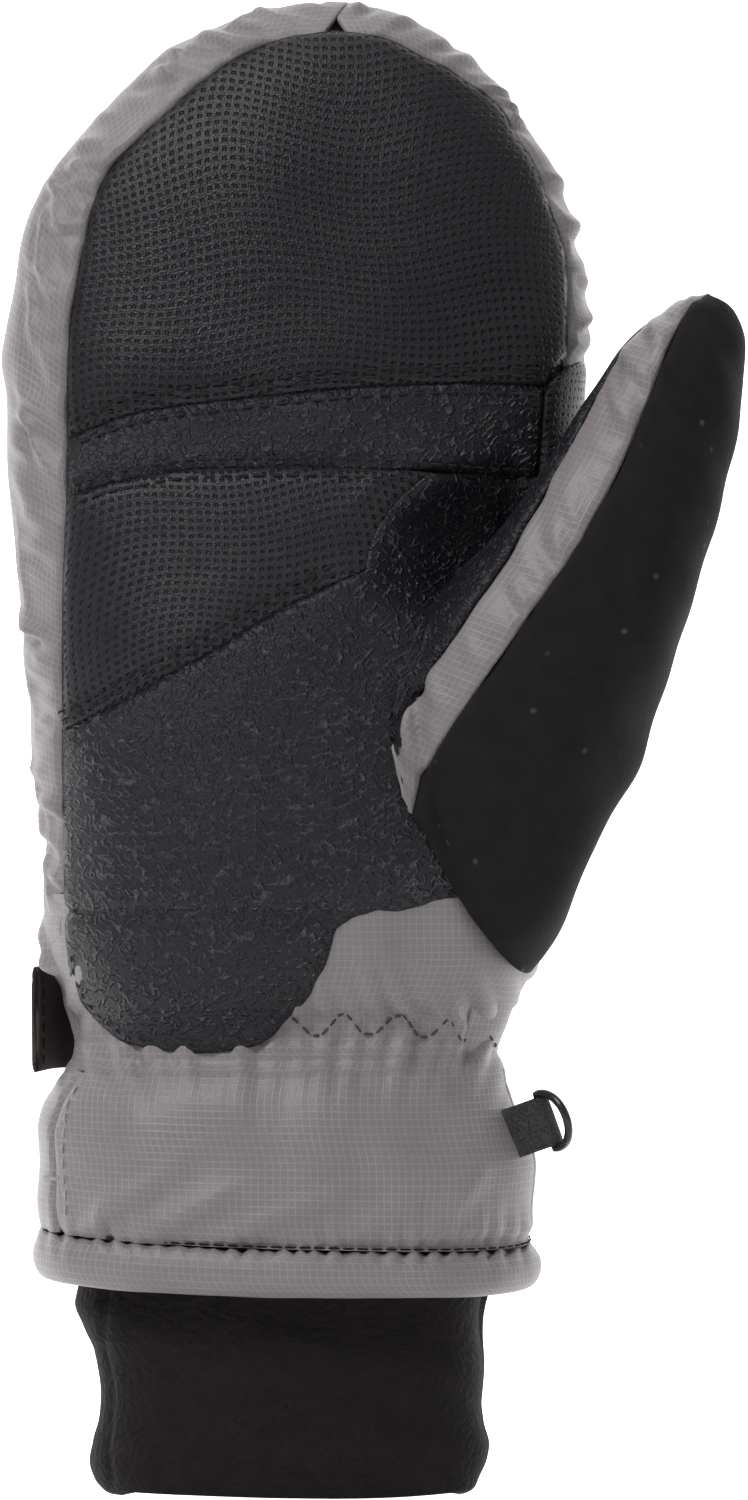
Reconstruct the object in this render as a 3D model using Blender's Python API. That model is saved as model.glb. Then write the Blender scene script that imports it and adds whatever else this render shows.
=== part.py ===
"""Right-hand ski mitten, built as its maker would cut it: layers, panels and trims.

Frame: metres, +Z from the cuff's mouth to the fingertips, palm towards -Y, thumb towards +X.
The origin is the centre of the cuff's mouth. Every layer is a thin closed solid that follows
one master surface, and every seam between two panels is a narrow gap.
"""
import math

import bmesh
import bpy
from mathutils import Vector
from mathutils.bvhtree import BVHTree

MM = 0.001
GAP = 0.3                      # clearance between two pieces that touch, mm
REACH = 90.0                   # how far a cutter reaches past the mitten, mm

# Layers, as depths below the outer surface, mm
SHELL = (0.0, 1.2)
INSULATION = (1.5, 6.6)
MEMBRANE = (6.9, 7.3)
LINING = (7.6, 8.8)
THUMB_INSULATION = (1.5, 5.4)
THUMB_LINING = (5.7, 6.7)

SEGMENTS = 20                  # around the hand
THUMB_SEGMENTS = 14
SQUARENESS = 2.35              # exponent of the superellipse sections
SIDE_SEAM_Y = 6.0              # the back panel starts behind this plane

# Fingers bend here
FLEX_Z = 232.0
FLEX_AXIS_Y = -17.0
FLEX_HALF_NOTCH = 23.0         # degrees, each side of the bend
# Gauntlet bends here
WRIST_Z = 96.0
WRIST_HALF_ROOF = 16.0         # degrees
HAND_END_Z = 98.2
# Thumb bends about this line, just in front of the palm
THUMB_AXIS_START = Vector((22.0, -36.0, 165.0))
THUMB_AXIS_END = Vector((48.0, -36.0, 131.0))

# Hand and gauntlet: height, outer edge x, index edge x, palm depth, back depth
HAND_SECTIONS = (
    (59.5, -54.5, 53.5, 36.0, 36.0), (74, -55.2, 53.0, 35.0, 35.5), (86, -52.0, 49.4, 31.5, 32.0),
    (96, -46.5, 46.4, 27.0, 27.5), (106, -48.3, 47.7, 28.3, 28.4), (120, -53.2, 48.9, 32.4, 31.2),
    (150, -55.0, 50.6, 35.2, 33.6), (190, -58.9, 55.6, 33.4, 34.0), (228, -62.3, 62.6, 29.8, 32.2),
    (250, -63.4, 64.8, 27.5, 30.5), (272, -60.0, 64.4, 25.0, 28.0), (292, -51.6, 57.4, 21.6, 24.0),
    (309, -37.6, 46.8, 16.6, 19.0), (321, -21.4, 32.6, 11.2, 12.8), (326.2, -8.0, 22.6, 6.2, 7.0),
)
HAND_TIP = (8.0, 0.5, 328.8)

# Thumb: outer-edge point (x, z), hand-side point (x, z), centre y, half depth
THUMB_SECTIONS = (
    ((12.0, 138.0), (42.0, 106.0), -8.0, 16.0), ((24.4, 152.7), (57.0, 121.5), -13.0, 19.0),
    ((22.2, 166.0), (68.5, 146.0), -16.0, 22.5), ((24.0, 180.0), (77.5, 166.0), -18.0, 24.0),
    ((31.0, 195.5), (84.0, 183.5), -19.5, 24.0), ((42.5, 209.0), (89.0, 198.0), -20.5, 22.5),
    ((54.5, 224.0), (92.6, 213.0), -21.0, 20.5), ((65.3, 241.0), (97.0, 230.0), -21.5, 18.0),
    ((73.0, 252.5), (99.6, 245.0), -22.0, 15.0), ((80.5, 259.5), (99.3, 254.0), -22.0, 11.0),
    ((86.0, 263.4), (96.5, 260.5), -22.0, 6.5),
)
THUMB_TIP = (91.8, -22.0, 264.6)

# Seams on the palm side, as (x, z)
PATCH_EDGE = (
    (-49.8, 116.0), (-50.4, 165.0), (-49.6, 215.0), (-49.0, 252.0), (-46.4, 268.0), (-41.0, 286.0),
    (-31.0, 302.5), (-19.0, 313.5), (-6.0, 320.0), (9.5, 322.8), (22.0, 321.0), (36.0, 314.5),
    (47.0, 304.0), (55.0, 289.0), (59.6, 272.0), (61.6, 256.0), (60.5, 240.0), (58.0, 215.0),
    (52.0, 175.0), (48.0, 128.0),
)
BAND_LOWER = ((-70.0, 219.5), (-38.0, 223.0), (-15.0, 225.3), (20.0, 226.0), (70.0, 222.0))
BAND_UPPER = ((-70.0, 231.5), (-38.0, 238.5), (-9.0, 241.8), (24.0, 244.6), (70.0, 243.0))
GRIP_LOWER = ((-50.2, 168.5), (-27.3, 180.6), (-6.4, 192.7), (15.6, 203.5), (57.0, 208.5))
TONGUE = (
    (-51.5, 121.0), (-46.2, 108.9), (-42.0, 104.4), (-36.7, 101.6), (-19.4, 101.4), (-9.9, 103.0),
    (-1.0, 109.6), (6.6, 117.7), (11.4, 126.0), (21.8, 128.3), (38.7, 130.7), (49.0, 130.9),
)
OUTER_SIDE_SEAM = ((-50.0, 40.0), (-50.0, 66.0), (-48.5, 76.0), (-45.0, 86.0), (-41.0, 100.0))
STRIP_LEFT = (
    (24.0, 152.0), (21.9, 169.0), (26.4, 175.5), (47.7, 207.0), (59.4, 227.7), (67.0, 242.0),
    (72.0, 253.0), (84.5, 266.0),
)
STRIP_RIGHT = (
    (24.6, 150.0), (33.7, 168.7), (54.8, 196.0), (71.3, 224.2), (79.5, 244.0), (82.7, 256.0),
    (88.4, 267.0),
)

# Wrist strap: its inside follows this section over the back of the hand
STRAP_Z = (94.0, 117.0)
STRAP_SECTION = (-53.4, 50.0, 31.8)      # outer edge x, index edge x, back depth
STRAP_THICKNESS = 1.8
STRAP_START_ANGLE = 50.0                 # degrees round the section from the index side
STRAP_LEAVE_ANGLE = 152.0
STRAP_END = (-55.6, -4.0)

# Gauntlet hem and knit cuff
HEM_Z = (48.6, 59.2)
CUFF_SECTIONS = (
    (0.0, -40.5, 40.5, 23.5), (3.0, -43.6, 43.6, 25.5), (8.0, -43.6, 43.8, 25.5),
    (20.0, -42.7, 42.2, 24.0), (34.0, -43.2, 42.0, 23.5), (44.0, -45.0, 43.0, 23.5),
    (56.0, -45.0, 43.0, 23.5),
)
CUFF_WALL = 2.2

# D-ring, hanging from its loop on the index side of the gauntlet
RING_BAR_TOP = Vector((53.4, -14.0, 90.2))
RING_BAR_BOTTOM = Vector((58.2, -14.0, 76.8))
RING_WIRE = 1.7
RING_DEPTH = 8.5
RING_OUT = Vector((0.55, -0.80, 0.20))   # direction in which the bow hangs from the bar
LOOP_LENGTH = 9.6
LOOP_LEATHER = 1.2

COLOURS = {
    "grey_ripstop": (0.262, 0.236, 0.246, 1.0), "grained_palm": (0.024, 0.026, 0.032, 1.0),
    "embossed_grip": (0.027, 0.027, 0.033, 1.0), "softshell": (0.014, 0.012, 0.012, 1.0),
    "knit": (0.016, 0.014, 0.015, 1.0), "webbing": (0.015, 0.012, 0.011, 1.0),
    "suede": (0.040, 0.041, 0.041, 1.0), "ring_plastic": (0.012, 0.011, 0.011, 1.0),
    "insulation": (0.80, 0.80, 0.78, 1.0), "membrane": (0.62, 0.66, 0.70, 1.0),
    "lining": (0.030, 0.030, 0.033, 1.0), "hook": (0.010, 0.010, 0.010, 1.0),
}
ROUGHNESS = {
    "grey_ripstop": 0.62, "grained_palm": 0.42, "embossed_grip": 0.46, "softshell": 0.85,
    "knit": 0.95, "webbing": 0.80, "suede": 0.82, "ring_plastic": 0.25, "insulation": 0.95,
    "membrane": 0.35, "lining": 0.92, "hook": 0.75,
}


def clear_scene():
    for item in list(bpy.data.objects):
        bpy.data.objects.remove(item, do_unlink=True)


def finish(name):
    """One plain material for each finish, made on first use."""
    material = bpy.data.materials.get(name)
    if material is None:
        material = bpy.data.materials.new(name)
        material.use_nodes = True
        shader = material.node_tree.nodes["Principled BSDF"]
        shader.inputs["Base Color"].default_value = COLOURS[name]
        shader.inputs["Roughness"].default_value = ROUGHNESS[name]
        shader.inputs["Metallic"].default_value = 0.0
    return material


# ---------------------------------------------------------------- sections and lofts

def superellipse(angle, power=SQUARENESS):
    """Unit point of a superellipse; angle 0 is +X and a quarter turn is +Y."""
    c, s = math.cos(angle), math.sin(angle)
    return (math.copysign(abs(c) ** (2 / power), c), math.copysign(abs(s) ** (2 / power), s))


def hand_ring(section):
    """A level ring; the palm side (-Y) and the back have their own depths."""
    z, left, right, front, back = section
    middle, half = (left + right) / 2, (right - left) / 2
    ring = []
    for step in range(SEGMENTS):
        ux, uy = superellipse(2 * math.pi * step / SEGMENTS)
        ring.append(Vector((middle + half * ux, uy * (back if uy > 0 else front), z)))
    return ring


def thumb_ring(section):
    """A tilted ring between two points of the thumb's outline."""
    (lx, lz), (rx, rz), y, depth = section
    ring = []
    for step in range(THUMB_SEGMENTS):
        ux, uy = superellipse(2 * math.pi * step / THUMB_SEGMENTS, 2.15)
        along = (1 + ux) / 2
        ring.append(Vector((lx + (rx - lx) * along, y + uy * depth, lz + (rz - lz) * along)))
    return ring


class Surface:
    """Rings from the open end to a closed tip, which can be pushed in along its normals."""

    def __init__(self, rings, tip=None):
        self.rings = rings
        self.tip = tip
        self.normals, self.tip_normal = self.find_normals()

    def find_normals(self):
        mesh = bmesh.new()
        rows = [[mesh.verts.new(point) for point in ring] for ring in self.rings]
        skin(mesh, rows)
        tip = None
        if self.tip is not None:
            tip = mesh.verts.new(self.tip)
            fan(mesh, rows[-1], tip)
        mesh.normal_update()
        normals = [[vert.normal.copy() for vert in row] for row in rows]
        tip_normal = tip.normal.copy() if tip else None
        mesh.free()
        return normals, tip_normal

    def pushed_in(self, depth):
        rings = [[point - normal * depth for point, normal in zip(ring, row)]
                 for ring, row in zip(self.rings, self.normals)]
        for ring, source in zip(rings[:1], self.rings[:1]):
            for point, start in zip(ring, source):
                point.z = start.z
        tip = self.tip - self.tip_normal * depth if self.tip is not None else None
        return rings, tip


def skin(mesh, rows, flip=False):
    """Triangles with one common diagonal, so that nested layers stay parallel."""
    for lower, upper in zip(rows, rows[1:]):
        count = len(lower)
        for step in range(count):
            after = (step + 1) % count
            for corners in ([lower[step], lower[after], upper[after]],
                            [lower[step], upper[after], upper[step]]):
                mesh.faces.new(reversed(corners) if flip else corners)


def fan(mesh, row, tip, flip=False):
    count = len(row)
    for step in range(count):
        corners = [row[step], row[(step + 1) % count], tip]
        mesh.faces.new(reversed(corners) if flip else corners)


def new_object(name, mesh, hidden=False):
    data = bpy.data.meshes.new(name)
    mesh.to_mesh(data)
    mesh.free()
    item = bpy.data.objects.new(name, data)
    bpy.context.scene.collection.objects.link(item)
    if hidden:
        item.hide_render = True
        item.display_type = "WIRE"
    return item


def layer(name, surface, depths):
    """A cup between two depths below a surface, open at the first ring."""
    mesh = bmesh.new()
    outer_rings, outer_tip = surface.pushed_in(depths[0])
    inner_rings, inner_tip = surface.pushed_in(depths[1])
    outer = [[mesh.verts.new(point) for point in ring] for ring in outer_rings]
    inner = [[mesh.verts.new(point) for point in ring] for ring in inner_rings]
    skin(mesh, outer)
    skin(mesh, inner, flip=True)
    skin(mesh, [inner[0], outer[0]])
    if surface.tip is None:
        skin(mesh, [outer[-1], inner[-1]])
    else:
        fan(mesh, outer[-1], mesh.verts.new(outer_tip))
        fan(mesh, inner[-1], mesh.verts.new(inner_tip), flip=True)
    return new_object(name, mesh)


def solid(name, surface, depth):
    """The whole space inside a surface, used only to cut others."""
    mesh = bmesh.new()
    rings, tip = surface.pushed_in(depth)
    rows = [[mesh.verts.new(point) for point in ring] for ring in rings]
    skin(mesh, rows)
    mesh.faces.new(reversed(rows[0]))
    if tip is None:
        mesh.faces.new(rows[-1])
    else:
        fan(mesh, rows[-1], mesh.verts.new(tip))
    return new_object(name, mesh, hidden=True)


# ---------------------------------------------------------------- cutters

def prism(name, outline, axis, low, high):
    """A closed outline pushed along X, Y or Z. The outline gives the two other coordinates."""
    mesh = bmesh.new()
    place = {"X": lambda a, b, t: (t, a, b), "Y": lambda a, b, t: (a, t, b),
             "Z": lambda a, b, t: (a, b, t)}[axis]
    first = [mesh.verts.new(place(a, b, low)) for a, b in outline]
    last = [mesh.verts.new(place(a, b, high)) for a, b in outline]
    mesh.faces.new(first)
    mesh.faces.new(reversed(last))
    for step in range(len(first)):
        after = (step + 1) % len(first)
        mesh.faces.new([first[after], first[step], last[step], last[after]])
    bmesh.ops.recalc_face_normals(mesh, faces=mesh.faces)
    return new_object(name, mesh, hidden=True)


def seam(name, points, low=-REACH, high=SIDE_SEAM_Y, width=GAP + 0.1):
    """A narrow ribbon along a line on the palm side, which parts two panels."""
    left, right = [], []
    for step, point in enumerate(points):
        before = Vector(points[max(step - 1, 0)])
        after = Vector(points[min(step + 1, len(points) - 1)])
        along = (after - before).normalized()
        across = Vector((-along.y, along.x)) * (width / 2)
        left.append(Vector(point) + across)
        right.append(Vector(point) - across)
    return prism(name, left + right[::-1], "Y", low, high)


def boolean(item, cutters, operation="DIFFERENCE"):
    """Cut with all the cutters in one step, so that no cut works on another's rounding."""
    group = bpy.data.collections.new(item.name + "_cutters")
    for cutter in cutters:
        group.objects.link(cutter)
    modifier = item.modifiers.new("cut", "BOOLEAN")
    modifier.operand_type = "COLLECTION"
    modifier.collection = group
    modifier.operation = operation
    modifier.solver = "EXACT"
    evaluated = item.evaluated_get(bpy.context.evaluated_depsgraph_get())
    data = bpy.data.meshes.new_from_object(evaluated)
    item.modifiers.clear()
    item.data = data
    bpy.data.collections.remove(group)


def cut(item, *cutters):
    boolean(item, cutters)


def copy_of(item, name):
    copy = item.copy()
    copy.data = item.data.copy()
    copy.name = name
    bpy.context.scene.collection.objects.link(copy)
    return copy


def name_pieces(item, wanted, colour):
    """Part a cut layer into its loose pieces and name each by a point that lies on it."""
    mesh = bmesh.new()
    mesh.from_mesh(item.data)
    bpy.data.objects.remove(item, do_unlink=True)
    islands = []
    waiting = set(mesh.faces)
    while waiting:
        seed = waiting.pop()
        island, edge = {seed}, [seed]
        while edge:
            face = edge.pop()
            for side in face.edges:
                for other in side.link_faces:
                    if other in waiting:
                        waiting.discard(other)
                        island.add(other)
                        edge.append(other)
        islands.append(island)
    trees = []
    for island in islands:
        faces = sorted(island, key=lambda face: face.index)
        verts = sorted({vert for face in faces for vert in face.verts}, key=lambda v: v.index)
        order = {vert: number for number, vert in enumerate(verts)}
        points = [vert.co.copy() for vert in verts]
        polygons = [[order[vert] for vert in face.verts] for face in faces]
        trees.append((BVHTree.FromPolygons(points, polygons), points, polygons))
    for name, point in wanted.items():
        nearest = min(trees, key=lambda entry: entry[0].find_nearest(Vector(point))[3])
        piece = bmesh.new()
        verts = [piece.verts.new(place) for place in nearest[1]]
        for polygon in nearest[2]:
            piece.faces.new([verts[number] for number in polygon])
        finished(new_object(name, piece), colour[name] if isinstance(colour, dict) else colour)
    mesh.free()


def finished(item, colour):
    """Scale to metres, give the finish, and shade the curved faces smooth."""
    data = item.data
    for vert in data.vertices:
        vert.co *= MM
    data.materials.clear()
    data.materials.append(finish(colour))
    data.shade_smooth()
    data.set_sharp_from_angle(angle=math.radians(40))
    return item


# ---------------------------------------------------------------- the mitten

def flex_notch():
    """The wedge that opens towards the palm and lets the fingers fold."""
    slope = math.tan(math.radians(FLEX_HALF_NOTCH)) * (REACH + FLEX_AXIS_Y)
    half = GAP / 2
    return prism("flex_notch", (
        (REACH, FLEX_Z - half), (REACH, FLEX_Z + half), (FLEX_AXIS_Y, FLEX_Z + half),
        (-REACH, FLEX_Z + half + slope), (-REACH, FLEX_Z - half - slope),
        (FLEX_AXIS_Y, FLEX_Z - half)), "X", -REACH, REACH)


def wrist_roof(shrink=0.0):
    """The zone between the hand's level end and the gauntlet's roof-shaped end."""
    drop = math.tan(math.radians(WRIST_HALF_ROOF)) * REACH
    ridge = WRIST_Z - GAP + shrink
    return prism("wrist_roof", (
        (-REACH, HAND_END_Z - shrink), (REACH, HAND_END_Z - shrink),
        (REACH, ridge - drop), (0.0, ridge), (-REACH, ridge - drop)), "X", -REACH, REACH)


def band_zone(grow):
    """The palm-side strip between the two sewn channels, inside the patch's edges."""
    lower = [(x, z - grow) for x, z in BAND_LOWER]
    upper = [(x, z + grow) for x, z in BAND_UPPER]
    zone = prism("band_zone", lower + upper[::-1], "Y", -REACH, 0.0)
    sides = prism("band_sides", ((-49.2 - grow, 200), (60.2 + grow, 200), (60.2 + grow, 260),
                                 (-49.2 - grow, 260)), "Y", -REACH, 0.0)
    boolean(zone, [sides], "INTERSECT")
    return zone


def make_hand(surface, thumb_void):
    notch, roof = flex_notch(), wrist_roof()
    below_roof = prism("hand_below", ((-REACH, -10), (REACH, -10), (REACH, WRIST_Z + 1),
                                      (-REACH, WRIST_Z + 1)), "X", -REACH, REACH)
    for name, depths, colour in (("insulation", INSULATION, "insulation"),
                                 ("membrane", MEMBRANE, "membrane"),
                                 ("lining", LINING, "lining")):
        item = layer(name, surface, depths)
        cut(item, notch, roof, thumb_void)
        inside = -30.0 + depths[0]
        name_pieces(item, {"finger_" + name: (0, inside, 275), "hand_" + name: (-30, inside, 180),
                           "gauntlet_" + name: (0, -33, 70)}, colour)

    shell = layer("shell", surface, SHELL)
    band = copy_of(shell, "band")
    boolean(band, [band_zone(0.0)], "INTERSECT")
    name_pieces(band, {"flex_band": (0, -30, 232)}, "grained_palm")
    gather = copy_of(shell, "gather")
    boolean(gather, [wrist_roof(shrink=GAP)], "INTERSECT")
    name_pieces(gather, {"wrist_gather": (0, -28, 95)}, "grey_ripstop")

    gauntlet = copy_of(shell, "gauntlet")
    cut(gauntlet, roof, prism("above", ((-REACH, WRIST_Z), (REACH, WRIST_Z), (REACH, 400),
                                        (-REACH, 400)), "X", -REACH, REACH),
        seam("outer_side_seam", OUTER_SIDE_SEAM),
        prism("index_side_seam", ((0, SIDE_SEAM_Y), (REACH, SIDE_SEAM_Y),
                                  (REACH, SIDE_SEAM_Y + GAP), (0, SIDE_SEAM_Y + GAP)), "Z", 0, 120))
    name_pieces(gauntlet, {"gauntlet_front_panel": (0, -36, 70),
                           "gauntlet_back_panel": (0, 36, 70)}, "grey_ripstop")

    tip_seam = seam("tip_seam", ((11.0, 340.0), (11.0, 330.0), (13.0, 321.0)))
    side_plane = prism("side_plane", ((-REACH, 90), (REACH, 90), (REACH, 400), (-REACH, 400)),
                       "Y", SIDE_SEAM_Y, SIDE_SEAM_Y + GAP)
    index_wrap = seam("index_wrap", ((74.0, 252.0), (61.2, 247.8), (58.0, 245.0), (55.0, 240.0),
                                     (55.0, 228.0)))
    cut(shell, roof, below_roof, band_zone(GAP), notch, thumb_void, side_plane, tip_seam,
        seam("patch_edge", PATCH_EDGE), seam("grip_lower", GRIP_LOWER), seam("tongue", TONGUE),
        seam("outer_wrist_seam", ((-75.0, 119.5), (-49.3, 119.5))),
        seam("index_wrist_seam", ((46.5, 131.6), (75.0, 131.6))), index_wrap)
    name_pieces(shell, {
        "palm_heel_patch": (-20, -36, 140), "palm_grip_patch": (-20, -33, 205),
        "finger_grip_patch": (0, -24, 285), "wrist_front_panel": (25, -26, 106),
        "hand_outer_gusset": (-60, -3, 190), "hand_index_gusset": (56, 2, 200),
        "finger_outer_gusset": (-61, -3, 265), "finger_index_gusset": (63, 0, 275),
        "index_wrap_patch": (61, -8, 238), "hand_back_panel": (0, 34, 170),
        "finger_back_panel": (0, 30, 270)},
        {"palm_heel_patch": "grained_palm", "palm_grip_patch": "embossed_grip",
         "finger_grip_patch": "embossed_grip", "wrist_front_panel": "grey_ripstop",
         "hand_outer_gusset": "grey_ripstop", "hand_index_gusset": "grey_ripstop",
         "finger_outer_gusset": "grey_ripstop", "finger_index_gusset": "grey_ripstop",
         "index_wrap_patch": "embossed_grip", "hand_back_panel": "grey_ripstop",
         "finger_back_panel": "grey_ripstop"})


def thumb_limits(hand_block):
    """Keep the thumb outside the hand, above its own bend, and clear of the bending fingers."""
    along = (THUMB_AXIS_END - THUMB_AXIS_START).normalized()
    across = Vector((-along.z, 0, along.x))
    start = THUMB_AXIS_START + across * GAP
    corners = [start - along * 120, start + along * 120,
               start + along * 120 - across * 120, start - along * 120 - across * 120]
    low_side = prism("thumb_low_side", [(p.x, p.z) for p in corners], "Y", -REACH, REACH)
    fingers = prism("finger_room", ((0, 222.0), (64.8, 222.0), (66.8, 300), (0, 300)),
                    "Y", -REACH, REACH)
    return low_side, fingers, hand_block


def make_thumb(surface, hand_block):
    limits = thumb_limits(hand_block)
    for name, depths, colour in (("thumb_insulation", THUMB_INSULATION, "insulation"),
                                 ("thumb_lining", THUMB_LINING, "lining")):
        item = layer(name, surface, depths)
        cut(item, *limits)
        name_pieces(item, {name: (75, -22, 230)}, colour)
    shell = layer("thumb_shell", surface, SHELL)
    mid = -21.0
    cut(shell, *limits,
        prism("thumb_side_plane", ((-REACH, 60), (120, 60), (120, 300), (-REACH, 300)),
              "Y", mid, mid + GAP),
        seam("strip_left", STRIP_LEFT, high=mid + GAP / 2),
        seam("strip_right", STRIP_RIGHT, high=mid + GAP / 2))
    name_pieces(shell, {
        "thumb_strip": (50, -45, 197), "thumb_outer_panel": (72, -42, 190),
        "thumb_inner_patch": (44.5, -32, 205), "thumb_back_panel": (80, 0, 200)},
        {"thumb_strip": "grey_ripstop", "thumb_outer_panel": "softshell",
         "thumb_inner_patch": "grained_palm", "thumb_back_panel": "grey_ripstop"})


def make_hem(surface):
    """The rolled edge that wraps the ends of the gauntlet's layers."""
    mesh = bmesh.new()
    low, high = HEM_Z
    roll = ((2.0, 0.15), (2.6, 0.5), (2.0, 0.85), (0.4, 1.0), (-5.0, 1.0), (-6.4, 0.5), (-5.0, 0.0),
            (0.4, 0.0))
    rows = []
    for out, up in roll:
        ring = []
        for point, normal in zip(surface.rings[0], surface.normals[0]):
            flat = Vector((normal.x, normal.y, 0)).normalized()
            place = point + flat * out
            place.z = low + (high - low) * up
            ring.append(mesh.verts.new(place))
        rows.append(ring)
    skin(mesh, rows + [rows[0]])
    bmesh.ops.recalc_face_normals(mesh, faces=mesh.faces)
    finished(new_object("gauntlet_hem", mesh), "grey_ripstop")


def make_cuff():
    rings = [hand_ring((z, left, right, depth, depth)) for z, left, right, depth in CUFF_SECTIONS]
    finished(layer("knit_cuff", Surface(rings), (0.0, CUFF_WALL)), "knit")


def strap_path():
    """The inside line of the strap, from its sewn end over the back to its free end."""
    left, right, back = STRAP_SECTION
    middle, half = (left + right) / 2, (right - left) / 2
    points = []
    turns = 14
    for step in range(turns + 1):
        angle = STRAP_START_ANGLE + (STRAP_LEAVE_ANGLE - STRAP_START_ANGLE) * step / turns
        ux, uy = superellipse(math.radians(angle))
        points.append(Vector((middle + half * ux, back * uy)))
    points.append(Vector(STRAP_END))
    return points


def strap_band(name, points, inside, outside, z_low, z_high, hidden=False):
    inner, outer = [], []
    for step, point in enumerate(points):
        before = points[max(step - 1, 0)]
        after = points[min(step + 1, len(points) - 1)]
        along = (after - before).normalized()
        out = Vector((along.y, -along.x))
        inner.append(point + out * inside)
        outer.append(point + out * outside)
    item = prism(name, inner + outer[::-1], "Z", z_low, z_high)
    item.hide_render = hidden
    return item


def make_strap(hand_block):
    path = strap_path()
    low, high = STRAP_Z
    outside = STRAP_THICKNESS
    strap = strap_band("wrist_strap", path, 0.0, outside, low, high)
    strap.display_type = "TEXTURED"
    finished(strap, "webbing")
    hooks = strap_band("strap_hook_pad", path[8:15], -1.0, -GAP, low + 1.5, high - 1.5)
    hooks.display_type = "TEXTURED"
    finished(hooks, "hook")
    loops = strap_band("strap_loop_field", path[5:14], -12.0, -1.0 - GAP, 99.0, high - 1.0)
    cut(loops, hand_block)
    name_pieces(loops, {"strap_loop_field": (-10, 32, 108)}, "webbing")

    left, right, back = STRAP_SECTION
    middle, half = (left + right) / 2, (right - left) / 2
    sewn = []
    for angle in (24.0, 30.0, 36.0, 42.0, STRAP_START_ANGLE - 0.6):
        ux, uy = superellipse(math.radians(angle))
        sewn.append(Vector((middle + half * ux, back * uy)))
    anchor = strap_band("strap_anchor", sewn, -16.0, outside, 99.0, high)
    cut(anchor, hand_block)
    name_pieces(anchor, {"strap_anchor": (42, 28, 108)}, "webbing")


def make_elastic(surface):
    """The flat elastic inside the wrist, between the lining and the hand."""
    rings = []
    for height in (99.0, 104.0, 109.0):
        lower, upper = HAND_SECTIONS[3], HAND_SECTIONS[5]
        share = (height - lower[0]) / (upper[0] - lower[0])
        rings.append(hand_ring((height,) + tuple(
            low + (high - low) * share for low, high in zip(lower[1:], upper[1:]))))
    inset = LINING[1] + 1.2
    finished(layer("wrist_elastic", Surface(rings), (inset, inset + 0.9)), "webbing")


def make_ring():
    """A D-shaped ring of round wire on a straight bar, and the leather loop that holds it."""
    bar = RING_BAR_BOTTOM - RING_BAR_TOP
    along = bar.normalized()
    out = (RING_OUT - along * RING_OUT.dot(along)).normalized()
    side = along.cross(out)
    half = bar.length / 2 - RING_WIRE / 2
    centre = (RING_BAR_TOP + RING_BAR_BOTTOM) / 2
    outline = []
    bends = 12
    for step in range(bends + 1):
        angle = math.pi * step / bends
        outline.append((half * math.cos(angle), RING_DEPTH * math.sin(angle) ** 0.8))
    outline += [(-half / 3, 0.0), (half / 3, 0.0)]
    mesh = bmesh.new()
    rows = []
    sides = 8
    count = len(outline)
    for step in range(count):
        here = Vector(outline[step])
        tangent = (Vector(outline[(step + 1) % count]) - Vector(outline[step - 1])).normalized()
        across = Vector((tangent.y, -tangent.x))
        row = []
        for turn in range(sides):
            angle = 2 * math.pi * turn / sides
            flat = here + across * (RING_WIRE / 2 * math.cos(angle))
            place = centre + along * flat.x + out * flat.y + side * (
                RING_WIRE / 2 * math.sin(angle))
            row.append(mesh.verts.new(place))
        rows.append(row)
    skin(mesh, rows + [rows[0]])
    bmesh.ops.recalc_face_normals(mesh, faces=mesh.faces)
    ring = new_object("d_ring", mesh)
    for vert in ring.data.vertices:
        vert.co -= centre
    finished(ring, "ring_plastic")
    pivot = bpy.data.objects.new("d_ring_pivot", None)
    pivot.location = centre * MM
    bpy.context.scene.collection.objects.link(pivot)
    ring.parent = pivot


def make_ring_loop(hand_block):
    """A tab of leather folded round the ring's bar, its ends sewn flat to the gauntlet."""
    along = (RING_BAR_BOTTOM - RING_BAR_TOP).normalized()
    centre = (RING_BAR_TOP + RING_BAR_BOTTOM) / 2
    inward = Vector((-1.0, 0.0, 0.0))
    inward = (inward - along * inward.dot(along)).normalized()
    across = along.cross(inward)
    eye = RING_WIRE / 2 + GAP
    fold = eye + LOOP_LEATHER
    outline = [(-fold * math.cos(angle), fold * math.sin(angle))
               for angle in (math.radians(-90 + 22.5 * step) for step in range(9))]
    outline += [(5.0, LOOP_LEATHER), (12.0, LOOP_LEATHER), (12.0, -LOOP_LEATHER),
                (5.0, -LOOP_LEATHER)]
    round_eye = [(eye * math.cos(2 * math.pi * step / 16), eye * math.sin(2 * math.pi * step / 16))
                 for step in range(16)]
    tab = prism("d_ring_loop", outline, "Z", -LOOP_LENGTH / 2, LOOP_LENGTH / 2)
    hole = prism("ring_eye", round_eye, "Z", -LOOP_LENGTH, LOOP_LENGTH)
    for item in (tab, hole):
        for vert in item.data.vertices:
            a, b, t = vert.co
            vert.co = centre + inward * a + across * b + along * t
    set_outward(tab)
    set_outward(hole)
    cut(tab, hole, hand_block)
    name_pieces(tab, {"d_ring_loop": centre + Vector((0, 0, 3))}, "suede")


def set_outward(item):
    mesh = bmesh.new()
    mesh.from_mesh(item.data)
    bmesh.ops.recalc_face_normals(mesh, faces=mesh.faces)
    mesh.to_mesh(item.data)
    mesh.free()


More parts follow.
